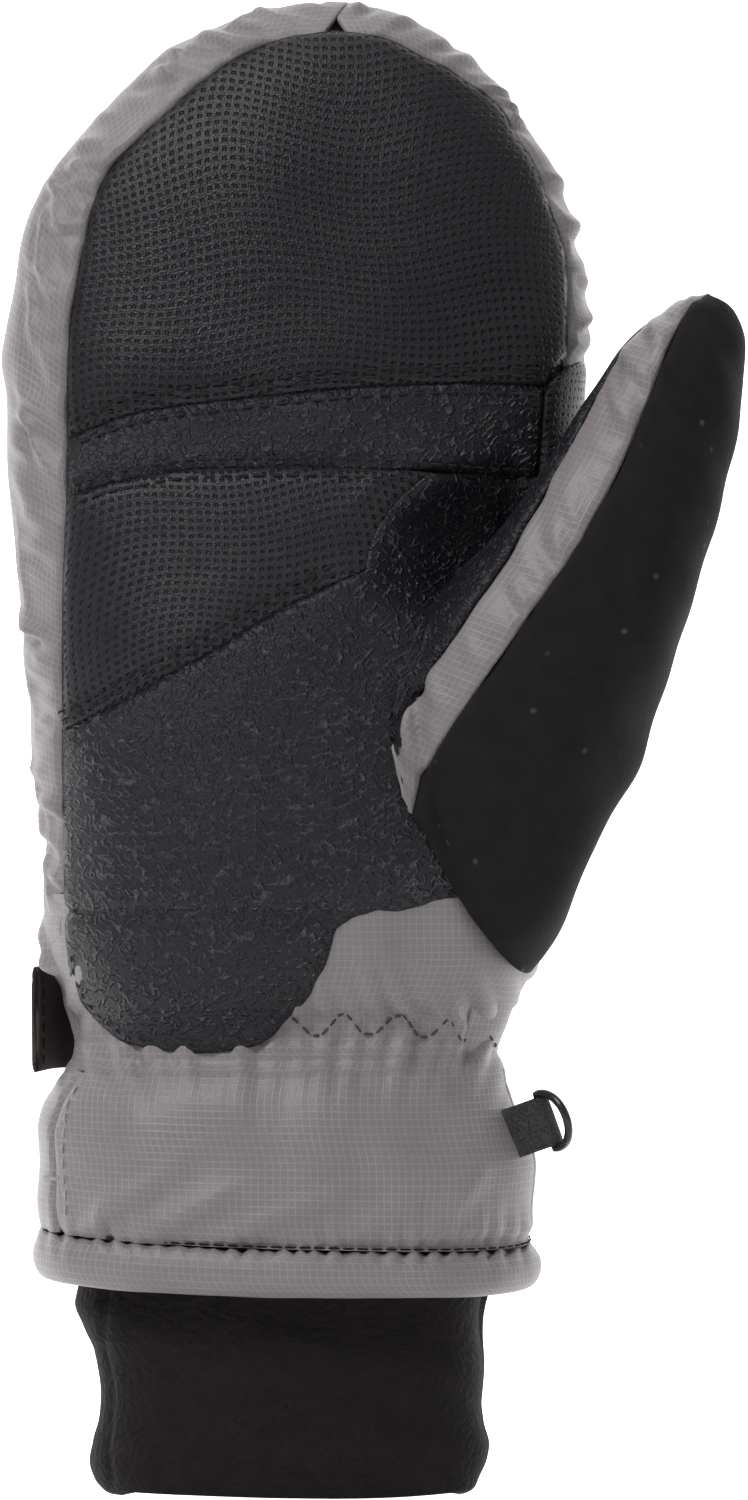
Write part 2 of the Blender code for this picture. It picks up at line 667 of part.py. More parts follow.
def main():
    clear_scene()
    hand = Surface([hand_ring(section) for section in HAND_SECTIONS], Vector(HAND_TIP))
    thumb = Surface([thumb_ring(section) for section in THUMB_SECTIONS], Vector(THUMB_TIP))
    hand_block = solid("hand_block", hand, -GAP)
    thumb_void = solid("thumb_void", thumb, THUMB_LINING[1] + 0.4)
    cut(thumb_void, thumb_limits(hand_block)[0])
    make_hand(hand, thumb_void)
    make_thumb(thumb, hand_block)
    make_hem(hand)
    make_cuff()
    make_elastic(hand)
    make_strap(hand_block)
    make_ring()
    make_ring_loop(hand_block)


main()
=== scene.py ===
# %% [markdown]
# # A padded ski mitten, seen from the palm
# A ski mitten is a bag of several layers. The outside is cut from thin ripstop cloth, grained and
# embossed synthetic leather, and soft stretch cloth for the thumb. Each panel is made here as a
# fine grid that lies on one shared outer shape, so neighbours meet along their seams.
# The working model comes first: most pieces made later hang from empties named after its bodies, and its plain
# parts are hidden where a piece stands in for them.

# %% Load the working model
import math

import bpy
import numpy as np
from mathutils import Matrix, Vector


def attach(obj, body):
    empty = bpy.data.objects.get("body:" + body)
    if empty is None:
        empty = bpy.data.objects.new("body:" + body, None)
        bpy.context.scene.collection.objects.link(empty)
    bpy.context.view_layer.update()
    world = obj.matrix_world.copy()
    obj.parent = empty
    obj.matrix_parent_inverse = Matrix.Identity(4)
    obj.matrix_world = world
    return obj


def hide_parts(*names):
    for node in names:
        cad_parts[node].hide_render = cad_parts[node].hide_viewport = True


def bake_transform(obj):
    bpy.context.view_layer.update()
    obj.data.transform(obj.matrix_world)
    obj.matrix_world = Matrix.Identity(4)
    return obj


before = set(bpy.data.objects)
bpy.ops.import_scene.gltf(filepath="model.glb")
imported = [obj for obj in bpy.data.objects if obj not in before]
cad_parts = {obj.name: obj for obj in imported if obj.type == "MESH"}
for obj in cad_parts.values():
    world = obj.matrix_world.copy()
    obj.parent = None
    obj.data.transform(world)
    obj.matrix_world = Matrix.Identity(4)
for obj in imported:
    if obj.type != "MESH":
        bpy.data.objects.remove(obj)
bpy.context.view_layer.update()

MM = 0.001
rng = np.random.default_rng(7)

# %% [markdown]
# ## The outer shape
# The hand is a padded pillow: at each height it has an outer edge, an index edge, a depth on the
# palm side and a depth at the back. Those four numbers at a few heights are enough. Between them a
# smooth curve is drawn, and near the fingertip the curve is drawn against the square root of the
# distance to the tip, which is what makes a round end round.

# %% Smooth curves through a few points
def hermite(xs, ys, at):
    """Cubic curve through points, with slopes that never overshoot."""
    xs, ys = np.asarray(xs, float), np.asarray(ys, float)
    steps = np.diff(xs)
    slopes = (np.diff(ys, axis=0).T / steps).T
    product = slopes[:-1] * slopes[1:]
    total = slopes[:-1] + slopes[1:]
    inner = np.where(product > 0, 2 * product / np.where(product > 0, total, 1.0), 0.0)
    tangents = np.concatenate([slopes[:1], inner, slopes[-1:]])
    at = np.clip(at, xs[0], xs[-1])
    k = np.clip(np.searchsorted(xs, at) - 1, 0, len(xs) - 2)
    t = (at - xs[k]) / steps[k]
    h = steps[k]
    if ys.ndim > 1:
        t, h = t[..., None], h[..., None]
    return ((1 + 2 * t) * (1 - t) ** 2 * ys[k] + t * (1 - t) ** 2 * h * tangents[k]
            + t ** 2 * (3 - 2 * t) * ys[k + 1] + t ** 2 * (t - 1) * h * tangents[k + 1])


def smooth_step(value, low, high):
    t = np.clip((value - low) / (high - low), 0, 1)
    return t * t * (3 - 2 * t)


# Height, outer edge, index edge, palm depth, back depth (mm), the tip last
TIP_Z = 328.9
HAND = np.array([
    (58, -54.2, 53.6, 36.0, 36.0), (66, -55.5, 53.6, 36.0, 36.3), (74, -55.2, 53.4, 35.2, 35.6),
    (81, -55.5, 51.6, 34.6, 34.6), (88, -53.4, 49.0, 33.2, 32.6), (93, -49.9, 47.4, 31.0, 30.2),
    (98, -47.2, 46.0, 27.6, 27.6), (104, -47.8, 47.4, 27.4, 28.0), (112, -50.2, 50.4, 30.4, 30.0),
    (120.5, -53.2, 55.4, 32.4, 31.2), (127, -54.3, 55.8, 33.4, 32.0), (140, -54.1, 53.0, 34.8, 33.0),
    (150, -54.8, 52.0, 35.0, 33.5), (166, -57.0, 53.0, 34.8, 33.9), (189, -58.8, 55.6, 33.4, 34.0),
    (212, -60.8, 59.4, 31.4, 33.2), (230, -62.5, 62.8, 29.6, 32.2), (241, -62.5, 63.8, 28.6, 31.4),
    (250, -63.6, 64.4, 27.6, 30.6), (257, -62.5, 65.8, 26.8, 30.0), (267.5, -60.6, 65.0, 25.6, 28.7),
    (280.5, -58.1, 61.8, 23.6, 26.5), (291, -52.6, 58.3, 21.9, 24.4), (301.5, -44.3, 51.8, 19.2, 21.6),
    (311, -35.3, 45.4, 16.1, 18.3), (319.5, -25.0, 35.4, 12.0, 13.8), (325, -12.4, 26.4, 7.6, 8.8),
    (TIP_Z, 9.5, 9.5, 0.0, 0.0)])
SQUARENESS = 2.35


def from_tip(z, tip=TIP_Z):
    return np.sqrt(np.maximum(tip - z, 0.0))


def hand_edges(z):
    """Outer edge, index edge, palm depth and back depth at these heights."""
    table = HAND[::-1]
    found = hermite(from_tip(table[:, 0]), table[:, 1:], from_tip(np.asarray(z, float)))
    return np.moveaxis(found, -1, 0)


def pillow(x, z, side):
    """The y of the surface over a place; side is -1 on the palm and +1 on the back."""
    left, right, front, back = hand_edges(z)
    middle, half = (left + right) / 2, np.maximum((right - left) / 2, 1e-6)
    u = np.clip(np.abs(x - middle) / half, 0, 1)
    depth = front if side < 0 else back
    y = side * depth * (1 - u ** SQUARENESS) ** (1 / SQUARENESS)
    return y + (palm_hollow(x, z) if side < 0 else 0.0)


VALLEY_RIDGE = np.array([(184, 25.5), (188, 27.0), (191, 25.5), (194, 21.5), (198, 18.0), (203.5, 16.4),
                         (209, 16.8), (216, 19.0), (222, 24.0), (228, 31.0)])


def palm_hollow(x, z):
    """The palm is cupped, with a deep valley where the thumb folds away from a rounded ridge."""
    cup = 3.0 * np.exp(-((x - 20) / 19) ** 2 - ((z - 190) / 30) ** 2)
    crease = 1.5 * np.exp(-((z - 232 - 0.05 * x) / 6.5) ** 2)
    heel = -1.2 * np.exp(-((x + 18) / 24) ** 2 - ((z - 140) / 20) ** 2)
    ridge_x = hermite(VALLEY_RIDGE[:, 0], VALLEY_RIDGE[:, 1], z)
    past = x - ridge_x
    strength = smooth_step(z, 182, 200) * (1 - smooth_step(z, 212, 238))
    valley = strength * (12.0 * smooth_step(past, -3, 20) - 0.7 * np.exp(-((past + 4) / 4.0) ** 2))
    valley = valley * (1 - smooth_step(x, 46, 60))
    return cup + crease + heel + valley


print("hand edges at 200 mm:", hand_edges(np.array([200.0])).ravel().round(1))

# %% [markdown]
# ## Grids of cloth
# A panel is an array of points, row by row. Its normals come from the differences between
# neighbours, so a relief can be pushed out along them before any mesh exists. The edge of each
# panel is turned in, as a seam allowance is, and the cloth's own length along rows and columns is
# kept as a UV map in metres. A weave drawn on that map keeps its true size and follows the panel.

# %% Panel helpers
def normals_of(points, closed=False):
    if closed:
        across = np.roll(points, -1, axis=1) - np.roll(points, 1, axis=1)
    else:
        across = np.gradient(points, axis=1)
    along = np.gradient(points, axis=0)
    normal = np.cross(across, along)
    return normal / np.maximum(np.linalg.norm(normal, axis=2, keepdims=True), 1e-9)


def cloth_lengths(points):
    """Distances along the middle row and middle column, as a flat pattern for the weave."""
    across = np.linalg.norm(np.diff(points, axis=1), axis=2)
    along = np.linalg.norm(np.diff(points, axis=0), axis=2)
    u = np.concatenate([np.zeros((len(points), 1)), np.cumsum(across, axis=1)], axis=1)
    u -= u[:, u.shape[1] // 2][:, None]
    v = np.concatenate([[0.0], np.cumsum(along.mean(axis=1))])
    return u, np.repeat(v[:, None], points.shape[1], axis=1)


def panel(name, points, material, lip=1.0, closed=False, flip=False, uv=None, caps=False):
    """A grid piece in mm, with its free edges turned in by the lip; caps close a tube's two ends."""
    points = np.asarray(points, float)
    u, v = uv if uv is not None else cloth_lengths(points)
    if lip:
        inward = -normals_of(points, closed) * (lip if not flip else -lip)
        points = np.concatenate([(points + inward)[:1], points, (points + inward)[-1:]])
        inward = np.concatenate([inward[:1], inward, inward[-1:]])
        u = np.concatenate([u[:1], u, u[-1:]])
        v = np.concatenate([v[:1] - lip, v, v[-1:] + lip])
        if not closed:
            points = np.concatenate([(points + inward)[:, :1], points, (points + inward)[:, -1:]], axis=1)
            u = np.concatenate([u[:, :1] - lip, u, u[:, -1:] + lip], axis=1)
            v = np.concatenate([v[:, :1], v, v[:, -1:]], axis=1)
    rows, cols = points.shape[:2]
    index = np.arange(rows * cols).reshape(rows, cols)
    if closed:
        index = np.concatenate([index, index[:, :1]], axis=1)
        last = u[:, -1:] + (u[:, -1:] - u[:, -2:-1])
        u, v = np.concatenate([u, last], axis=1), np.concatenate([v, v[:, :1]], axis=1)
    corners = [index[:-1, :-1], index[:-1, 1:], index[1:, 1:], index[1:, :-1]]
    tex = [np.stack([a, b], -1) for a, b in zip(
        (u[:-1, :-1], u[:-1, 1:], u[1:, 1:], u[1:, :-1]), (v[:-1, :-1], v[:-1, 1:], v[1:, 1:], v[1:, :-1]))]
    if flip:
        corners, tex = corners[::-1], tex[::-1]
    faces = np.stack(corners, -1).reshape(-1, 4).tolist()
    flat_places = np.stack(tex, -2).reshape(-1, 2)
    if caps:
        turn = 1 if flip else -1
        for row, way in ((0, -turn), (rows - 1, turn)):
            ring = np.arange(cols)[::way]
            faces.append((ring + row * cols).tolist())
            flat_places = np.concatenate([flat_places, np.stack([u[row, ring], v[row, ring]], -1)])
    mesh = bpy.data.meshes.new(name)
    mesh.from_pydata((points.reshape(-1, 3) * MM).tolist(), [], faces)
    layer = mesh.uv_layers.new(name="cloth")
    layer.data.foreach_set("uv", (flat_places * MM).ravel())
    mesh.shade_smooth()
    mesh.update()
    piece = bpy.data.objects.new(name, mesh)
    bpy.context.scene.collection.objects.link(piece)
    piece.data.materials.append(material)
    remember_cut(float(u.max() - u.min()), float(v.max() - v.min()))
    return piece


def remember_cut(wide, tall):
    """Takes the flat size of a piece, its width and its length (mm); nothing is kept."""
    wide, tall = max(wide, 1.0), max(tall, 1.0)


def thicken(piece, thickness):
    """Gives a bag's wall its real thickness, on the inside."""
    wall = piece.modifiers.new("wall", "SOLIDIFY")
    wall.thickness = thickness * MM
    wall.offset = -1
    return piece


def edge_distance(points):
    """How far each point of a grid lies from the grid's nearest edge, roughly, in mm."""
    across = np.linalg.norm(np.diff(points, axis=1), axis=2)
    along = np.linalg.norm(np.diff(points, axis=0), axis=2)
    from_left = np.concatenate([np.zeros((len(points), 1)), np.cumsum(across, axis=1)], axis=1)
    from_low = np.concatenate([np.zeros((1, points.shape[1])), np.cumsum(along, axis=0)], axis=0)
    return (from_left, from_left[:, -1:] - from_left, from_low, from_low[-1:] - from_low)


def seam_dip(distances, depth=1.1, reach=2.6):
    """Cloth dives into a seam: a rounded fall over the last few millimetres."""
    fall = np.zeros_like(distances[0])
    for distance in distances:
        fall = np.maximum(fall, np.clip(1 - distance / reach, 0, 1) ** 2)
    return -depth * fall


def puffs(along, size, spread=0.6):
    """Rounded puffs with sharp valleys between them, of uneven width, about zero on average."""
    wave = np.zeros_like(along)
    for share in (1.0, 0.62, 0.4):
        length = size * rng.uniform(1 - spread / 2, 1 + spread / 2) / share ** 0.4
        wander = rng.uniform(0.5, 1.0) * np.sin(2 * np.pi * along / (length * 3.7) + rng.uniform(0, 6.3))
        wave += share * (np.abs(np.sin(np.pi * along / length + wander + rng.uniform(0, 6.3))) - 0.64)
    return wave


def pucker(along, distance, size=9.0, reach=8.0, height=0.8, slant=0.35):
    """Small folds that start at a seam and fade into the panel."""
    lean = slant * rng.uniform(-1, 1)
    wave = puffs(along + lean * distance, size)
    return height * wave * np.exp(-distance / reach) * smooth_step(distance, 0.0, 2.5)


def creases(a, b, count, reach, height, angle, low, high):
    """A few long soft creases at about one angle, each a ridge beside a furrow."""
    total = np.zeros_like(a)
    for _ in range(count):
        turn = angle + rng.uniform(-0.25, 0.25)
        centre = np.array([rng.uniform(low[0], high[0]), rng.uniform(low[1], high[1])])
        along = (a - centre[0]) * math.cos(turn) + (b - centre[1]) * math.sin(turn)
        across = -(a - centre[0]) * math.sin(turn) + (b - centre[1]) * math.cos(turn)
        across = across + rng.uniform(-0.02, 0.02) * along ** 2
        wide, long = rng.uniform(1.1, 2.4), reach * rng.uniform(0.5, 1.2)
        profile = (np.exp(-(across / wide) ** 2) - 0.7 * np.exp(-((across - 1.8 * wide) / wide) ** 2))
        total += rng.uniform(0.5, 1.0) * profile * np.exp(-(along / long) ** 2)
    return height * total


def noise_field(a, b, size, height, layers=4):
    """Gentle uneven waves over a panel, from a few crossing sines."""
    total = np.zeros_like(a)
    for _ in range(layers * 3):
        turn = rng.uniform(0, 2 * np.pi)
        length = size * rng.uniform(0.6, 1.8)
        total += np.sin(2 * np.pi * (a * math.cos(turn) + b * math.sin(turn)) / length
                        + rng.uniform(0, 2 * np.pi))
    return height * total / math.sqrt(layers * 3)

# %% [markdown]
# ## Finishes
# Three effects are shared: the raised square grid of ripstop cloth, the worm-like grain of the
# coated palm leather, and the fine nap of brushed cloth. Each is one node group that puts out
# masks and heights. The shader that uses them stays in each material with its own values.

# %% Node group helpers
def new_group(name, inputs, outputs):
    group = bpy.data.node_groups.new(name, "ShaderNodeTree")
    for label, kind, value in inputs:
        socket = group.interface.new_socket(label, in_out="INPUT", socket_type=kind)
        if value is not None:
            socket.default_value = value
    for label, kind in outputs:
        group.interface.new_socket(label, in_out="OUTPUT", socket_type=kind)
    return group, group.nodes.new("NodeGroupInput"), group.nodes.new("NodeGroupOutput")


def math_node(tree, operation, a, b=None, c=None):
    node = tree.nodes.new("ShaderNodeMath")
    node.operation = operation
    for number, value in enumerate((a, b, c)):
        if value is None:
            continue
        if isinstance(value, (int, float)):
            node.inputs[number].default_value = value
        else:
            tree.links.new(value, node.inputs[number])
    return node.outputs[0]


def texture(tree, kind, vector, scale, **settings):
    node = tree.nodes.new(kind)
    tree.links.new(vector, node.inputs["Vector"])
    if isinstance(scale, (int, float)):
        node.inputs["Scale"].default_value = scale
    else:
        tree.links.new(scale, node.inputs["Scale"])
    for label, value in settings.items():
        if label in node.inputs:
            node.inputs[label].default_value = value
        else:
            setattr(node, label, value)
    return node

# %% The three shared effects
FLOAT, VECTOR = "NodeSocketFloat", "NodeSocketVector"


def make_ripstop_group():
    group, into, out = new_group("ripstop_grid", [("Place", VECTOR, None), ("Pitch", FLOAT, 0.0016)],
                                 [("Line", FLOAT), ("Weave", FLOAT), ("Cloud", FLOAT)])
    split = group.nodes.new("ShaderNodeSeparateXYZ")
    group.links.new(into.outputs["Place"], split.inputs[0])
    lines = []
    for axis in (0, 1):
        cell = math_node(group, "DIVIDE", split.outputs[axis], into.outputs["Pitch"])
        inside = math_node(group, "PINGPONG", cell, 0.5)
        lines.append(math_node(group, "SUBTRACT", 1.0, math_node(group, "MULTIPLY", inside, 6.5)))
    grid = math_node(group, "MAXIMUM", math_node(group, "MAXIMUM", lines[0], lines[1]), 0.0)
    cloud = texture(group, "ShaderNodeTexNoise", into.outputs["Place"], 60.0, Detail=2.0)
    fade = math_node(group, "MULTIPLY", cloud.outputs["Fac"], 1.6)
    group.links.new(math_node(group, "MINIMUM", math_node(group, "MULTIPLY", grid, fade), 1.0),
                    out.inputs["Line"])
    weave = texture(group, "ShaderNodeTexNoise", into.outputs["Place"], 3800.0, Detail=1.0)
    group.links.new(weave.outputs["Fac"], out.inputs["Weave"])
    group.links.new(cloud.outputs["Fac"], out.inputs["Cloud"])
    return group


def make_grain_group():
    group, into, out = new_group("leather_grain", [("Place", VECTOR, None), ("Scale", FLOAT, 820.0)],
                                 [("Height", FLOAT), ("Rib", FLOAT), ("Cloud", FLOAT)])
    worms = texture(group, "ShaderNodeTexNoise", into.outputs["Place"], into.outputs["Scale"], Detail=0.6)
    off = math_node(group, "ABSOLUTE", math_node(group, "SUBTRACT", worms.outputs["Fac"], 0.5))
    line = math_node(group, "SUBTRACT", 1.0, math_node(group, "MULTIPLY", off, 12.0))
    line = math_node(group, "MAXIMUM", line, 0.0)
    gaps = texture(group, "ShaderNodeTexNoise", into.outputs["Place"], 430.0, Detail=1.0)
    kept = math_node(group, "MULTIPLY_ADD", gaps.outputs["Fac"], 5.0, -1.9)
    kept = math_node(group, "MINIMUM", math_node(group, "MAXIMUM", kept, 0.0), 1.0)
    rib = math_node(group, "MULTIPLY", line, kept)
    fine = texture(group, "ShaderNodeTexNoise", into.outputs["Place"], 2600.0, Detail=2.0)
    height = math_node(group, "MULTIPLY_ADD", fine.outputs["Fac"], 0.25, rib)
    cloud = texture(group, "ShaderNodeTexNoise", into.outputs["Place"], 45.0, Detail=3.0)
    group.links.new(height, out.inputs["Height"])
    group.links.new(rib, out.inputs["Rib"])
    group.links.new(cloud.outputs["Fac"], out.inputs["Cloud"])
    return group


def make_nap_group():
    group, into, out = new_group("brushed_nap", [("Place", VECTOR, None), ("Scale", FLOAT, 1500.0)],
                                 [("Height", FLOAT), ("Lint", FLOAT), ("Cloud", FLOAT)])
    fuzz = texture(group, "ShaderNodeTexNoise", into.outputs["Place"], into.outputs["Scale"], Detail=4.0)
    cloud = texture(group, "ShaderNodeTexNoise", into.outputs["Place"], 170.0, Detail=4.0)
    speck = texture(group, "ShaderNodeTexVoronoi", into.outputs["Place"], 130.0)
    near = math_node(group, "SUBTRACT", 1.0, math_node(group, "MULTIPLY", speck.outputs["Distance"], 9.0))
    group.links.new(fuzz.outputs["Fac"], out.inputs["Height"])
    group.links.new(math_node(group, "MAXIMUM", near, 0.0), out.inputs["Lint"])
    group.links.new(cloud.outputs["Fac"], out.inputs["Cloud"])
    return group


ripstop_grid, leather_grain, brushed_nap = make_ripstop_group(), make_grain_group(), make_nap_group()

# %% Material builder
def mix_colours(tree, factor, a, b):
    node = tree.nodes.new("ShaderNodeMix")
    node.data_type = "RGBA"
    tree.links.new(factor, node.inputs["Factor"])
    for socket, value in ((node.inputs[6], a), (node.inputs[7], b)):
        if isinstance(value, tuple):
            socket.default_value = value + (1.0,)
        else:
            tree.links.new(value, socket)
    return node.outputs[2]


def start_material(name, group, coordinates="UV", sheen=0.0, specular=0.5, **values):
    """A material with one Principled shader and one shared effect placed on the cloth."""
    material = bpy.data.materials.new(name)
    material.use_nodes = True
    tree = material.node_tree
    shader = tree.nodes["Principled BSDF"]
    shader.inputs["Sheen Weight"].default_value = sheen
    shader.inputs["Sheen Roughness"].default_value = 0.5
    shader.inputs["Specular IOR Level"].default_value = specular
    place = tree.nodes.new("ShaderNodeTexCoord")
    effect = tree.nodes.new("ShaderNodeGroup")
    effect.node_tree = group
    tree.links.new(place.outputs[coordinates], effect.inputs["Place"])
    for label, value in values.items():
        effect.inputs[label].default_value = value
    return material, tree, shader, effect


def add_bump(tree, shader, height, distance, strength=1.0):
    bump = tree.nodes.new("ShaderNodeBump")
    bump.inputs["Distance"].default_value = distance
    bump.inputs["Strength"].default_value = strength
    tree.links.new(height, bump.inputs["Height"])
    tree.links.new(bump.outputs["Normal"], shader.inputs["Normal"])


def ripstop(name, ground, line):
    material, tree, shader, grid = start_material(name, ripstop_grid, sheen=0.06, specular=0.5)
    share = math_node(tree, "MULTIPLY", grid.outputs["Line"], 0.5)
    body = mix_colours(tree, grid.outputs["Cloud"], tuple(v * 0.86 for v in ground),
                       tuple(v * 1.12 for v in ground))
    tree.links.new(mix_colours(tree, share, body, line), shader.inputs["Base Color"])
    tree.links.new(math_node(tree, "MULTIPLY_ADD", grid.outputs["Weave"], 0.14, 0.34),
                   shader.inputs["Roughness"])
    height = math_node(tree, "MULTIPLY_ADD", grid.outputs["Line"], 0.9, grid.outputs["Weave"])
    add_bump(tree, shader, height, 0.00007)
    return material


def leather(name, ground, light, scale=560.0, rough=0.27, relief=0.0010, coordinates="UV"):
    material, tree, shader, grain = start_material(name, leather_grain, coordinates, specular=0.4,
                                                   Scale=scale)
    body = mix_colours(tree, grain.outputs["Cloud"], tuple(v * 0.7 for v in ground),
                       tuple(v * 1.2 for v in ground))
    # The grain's ridges take the lighter colour: a painted highlight, glints along the ridges.
    tree.links.new(mix_colours(tree, grain.outputs["Rib"], body, light), shader.inputs["Base Color"])
    tree.links.new(math_node(tree, "MULTIPLY_ADD", grain.outputs["Cloud"], 0.16, rough),
                   shader.inputs["Roughness"])
    add_bump(tree, shader, grain.outputs["Height"], relief)
    return material


def napped(name, ground, light, scale=1500.0, relief=0.00025, lint=0.25, coordinates="UV", sheen=0.25):
    material, tree, shader, nap = start_material(name, brushed_nap, coordinates, sheen=sheen,
                                                 specular=0.2, Scale=scale)
    body = mix_colours(tree, nap.outputs["Cloud"], tuple(v * 0.55 for v in ground),
                       tuple(v * 1.5 for v in ground))
    speck = math_node(tree, "MULTIPLY", nap.outputs["Lint"], lint)
    tree.links.new(mix_colours(tree, speck, body, light), shader.inputs["Base Color"])
    tree.links.new(math_node(tree, "MULTIPLY_ADD", nap.outputs["Height"], 0.2, 0.75),
                   shader.inputs["Roughness"])
    add_bump(tree, shader, nap.outputs["Height"], relief)
    return material


grey_cloth = ripstop("grey ripstop", (0.250, 0.225, 0.234), (0.44, 0.405, 0.41))
# The second colour of each leather is the painted highlight on the grain's ridges.
grained_palm = leather("grained palm leather", (0.013, 0.013, 0.0175), (0.080, 0.082, 0.096))
softshell = napped("black softshell", (0.0125, 0.0112, 0.0112), (0.16, 0.145, 0.135), relief=0.00025,
                   lint=0.65, sheen=0.02)
brushed_knit = napped("brushed knit", (0.0135, 0.0108, 0.0112), (0.035, 0.030, 0.031), scale=620.0,
                      relief=0.0010, lint=0.08, sheen=0.03)
webbing = napped("strap webbing", (0.060, 0.049, 0.047), (0.14, 0.12, 0.115), scale=1400.0,
                 relief=0.0003, lint=0.35, sheen=0.02)
hook_tape = napped("hook tape", (0.010, 0.009, 0.009), (0.04, 0.04, 0.04), scale=1200.0,
                   relief=0.0004, lint=0.1, coordinates="Object")
lining_fleece = napped("lining fleece", (0.030, 0.030, 0.033), (0.08, 0.08, 0.08), scale=1100.0,
                       relief=0.0003)
wadding = napped("white wadding", (0.72, 0.72, 0.70), (0.85, 0.85, 0.84), scale=500.0, relief=0.0004)
film = napped("waterproof film", (0.52, 0.56, 0.60), (0.62, 0.66, 0.70), scale=300.0, relief=0.00005,
              lint=0.05, sheen=0.0)
# Its second colour is the painted highlight on the grain's ridges.
ring_loop_leather = leather("ring loop leather", (0.045, 0.047, 0.047), (0.10, 0.10, 0.10),
                            scale=1300.0, rough=0.62, coordinates="Object")
elastic_thread = napped("elastic thread", (0.070, 0.062, 0.064), (0.12, 0.11, 0.11), scale=4000.0,
                        relief=0.00005, sheen=0.1, coordinates="Object")
dark_thread = napped("dark thread", (0.022, 0.020, 0.024), (0.06, 0.055, 0.06), scale=4000.0,
                     relief=0.00005, sheen=0.1, coordinates="Object")
grey_thread = napped("grey thread", (0.42, 0.40, 0.41), (0.50, 0.48, 0.49), scale=4000.0,
                     relief=0.00005, sheen=0.1, coordinates="Object")
black_thread = napped("black thread", (0.010, 0.010, 0.012), (0.03, 0.03, 0.03), scale=4000.0,
                      relief=0.00005, sheen=0.1, coordinates="Object")
print("finishes made:", len(bpy.data.materials))

# %% [markdown]
# ## From what is seen to where it is
# The lengths below were read off as they look from straight in front. A near surface looks a
# little larger than a far one, so each outline is first brought back onto the padded shape by the
# camera's own distance. Sizes at the outline of the mitten, level with its middle, stay as they are.

# %% The viewing distance
EYE = np.array([18.3, -1300.0, 164.3])


def brought_back(x, z, y):
    """Where something seen at (x, z) really is, when it lies at this depth."""
    scale = (y - EYE[1]) / (0.0 - EYE[1])
    return EYE[0] + (x - EYE[0]) * scale, EYE[2] + (z - EYE[2]) * scale


def on_palm(outline):
    """An outline as seen, moved onto the palm side of the pillow."""
    seen = np.asarray(outline, float)
    x, z = seen[:, 0], seen[:, 1]
    for _ in range(4):
        y = pillow(x, np.minimum(z, TIP_Z - 0.2), -1)
        x, z = brought_back(seen[:, 0], seen[:, 1], y)
    return np.stack([x, z], axis=1)


def smooth_line(points, step=1.0):
    """A smooth curve through a few places, with even spacing."""
    points = np.asarray(points, float)
    at = np.concatenate([[0.0], np.cumsum(np.linalg.norm(np.diff(points, axis=0), axis=1))])
    fine = hermite(at, points, np.linspace(0, at[-1], max(int(at[-1] * 4), 8)))
    run = np.concatenate([[0.0], np.cumsum(np.linalg.norm(np.diff(fine, axis=0), axis=1))])
    count = max(int(round(run[-1] / step)), 2)
    even = np.linspace(0, run[-1], count + 1)
    return np.stack([np.interp(even, run, fine[:, k]) for k in range(fine.shape[1])], axis=1)


# The edge of the palm leather, from the wrist up the outer side, round the tip, down to the index
OUTER_EDGE = [(-49.6, 117.5), (-49.8, 129), (-50.2, 150), (-50.4, 171), (-50.3, 197), (-49.5, 219.3),
              (-49.4, 234.7), (-48.8, 256.7), (-47.7, 263.8), (-46.4, 271.7), (-45.3, 277),
              (-43.6, 283.8), (-40.5, 291.1), (-34.5, 297.9), (-27.3, 304.7), (-18.9, 312),
              (-11.7, 316.8), (-1.1, 321), (9.5, 322.7)]
INDEX_EDGE = [(9.5, 322.7), (18.3, 321.6), (23.5, 319.9), (28.8, 317), (34.1, 314.6), (39.2, 311.1),
              (43.3, 308.4), (47.1, 304.7), (49.7, 299.4), (52.8, 294.8), (55.4, 288.9), (57, 283.8),
              (59.2, 277.9), (60.5, 272.6), (60.9, 266.4), (60.9, 256.7), (60.6, 247.5)]
# Where the palm leather is cut into pieces: the two stitched channels and the long diagonal seam
UPPER_CHANNEL = [(-49.2, 233.0), (-32.6, 238.7), (-9, 241.8), (24, 244.6), (42, 245.0), (56, 244.2)]
LOWER_CHANNEL = [(-49.5, 220.0), (-37.8, 223.5), (-18.9, 226.2), (3.1, 226.6), (30.6, 225.5),
                 (55, 224.2)]
DIAGONAL = [(-50.4, 168.3), (-37.8, 174.7), (-27.3, 180.6), (-16.7, 186.3), (-6.4, 192.7),
            (3.1, 197.8), (15.6, 203.5)]
TONGUE = [(-49.6, 121.7), (-49.1, 116.4), (-48.2, 113.1), (-46.2, 108.9), (-42, 104.0), (-36.7, 100.0),
          (-27.3, 98.0), (-19.4, 97.5), (-9.9, 98.6), (-4.6, 100.8), (-1.1, 104.7), (3.7, 109.6),
          (6.8, 114.8), (8.8, 120.6), (9.9, 124.7), (13.0, 126.6), (21.8, 128.3), (32.3, 130.5),
          (38.7, 130.7)]
outer_line, index_line = smooth_line(OUTER_EDGE), smooth_line(INDEX_EDGE)
upper_line, lower_line = smooth_line(UPPER_CHANNEL), smooth_line(LOWER_CHANNEL)
diagonal_line, tongue_line = smooth_line(DIAGONAL), smooth_line(TONGUE)
print("palm leather edge:", round(float(len(outer_line) + len(index_line))), "mm long")

# %% [markdown]
# ## Flat-cut pieces laid on the pillow
# A leather piece is cut to an outline and lies on the padding. The outline is filled with an even
# field of points, each is lifted onto the pillow, and the edge is turned down into the seam.

# %% Helper for cut pieces
from mathutils import geometry


def distance_to(points, line):
    """Distance of each point from a line of short pieces, and the place along it."""
    best = np.full(len(points), 1e9)
    where = np.zeros(len(points))
    run = 0.0
    for a, b in zip(line[:-1], line[1:]):
        span = b - a
        length = np.linalg.norm(span)
        if length < 1e-9:
            continue
        t = np.clip(((points - a) @ span) / length ** 2, 0, 1)
        found = np.linalg.norm(points - (a + t[:, None] * span), axis=1)
        closer = found < best
        best = np.where(closer, found, best)
        where = np.where(closer, run + t * length, where)
        run += length
    return best, where


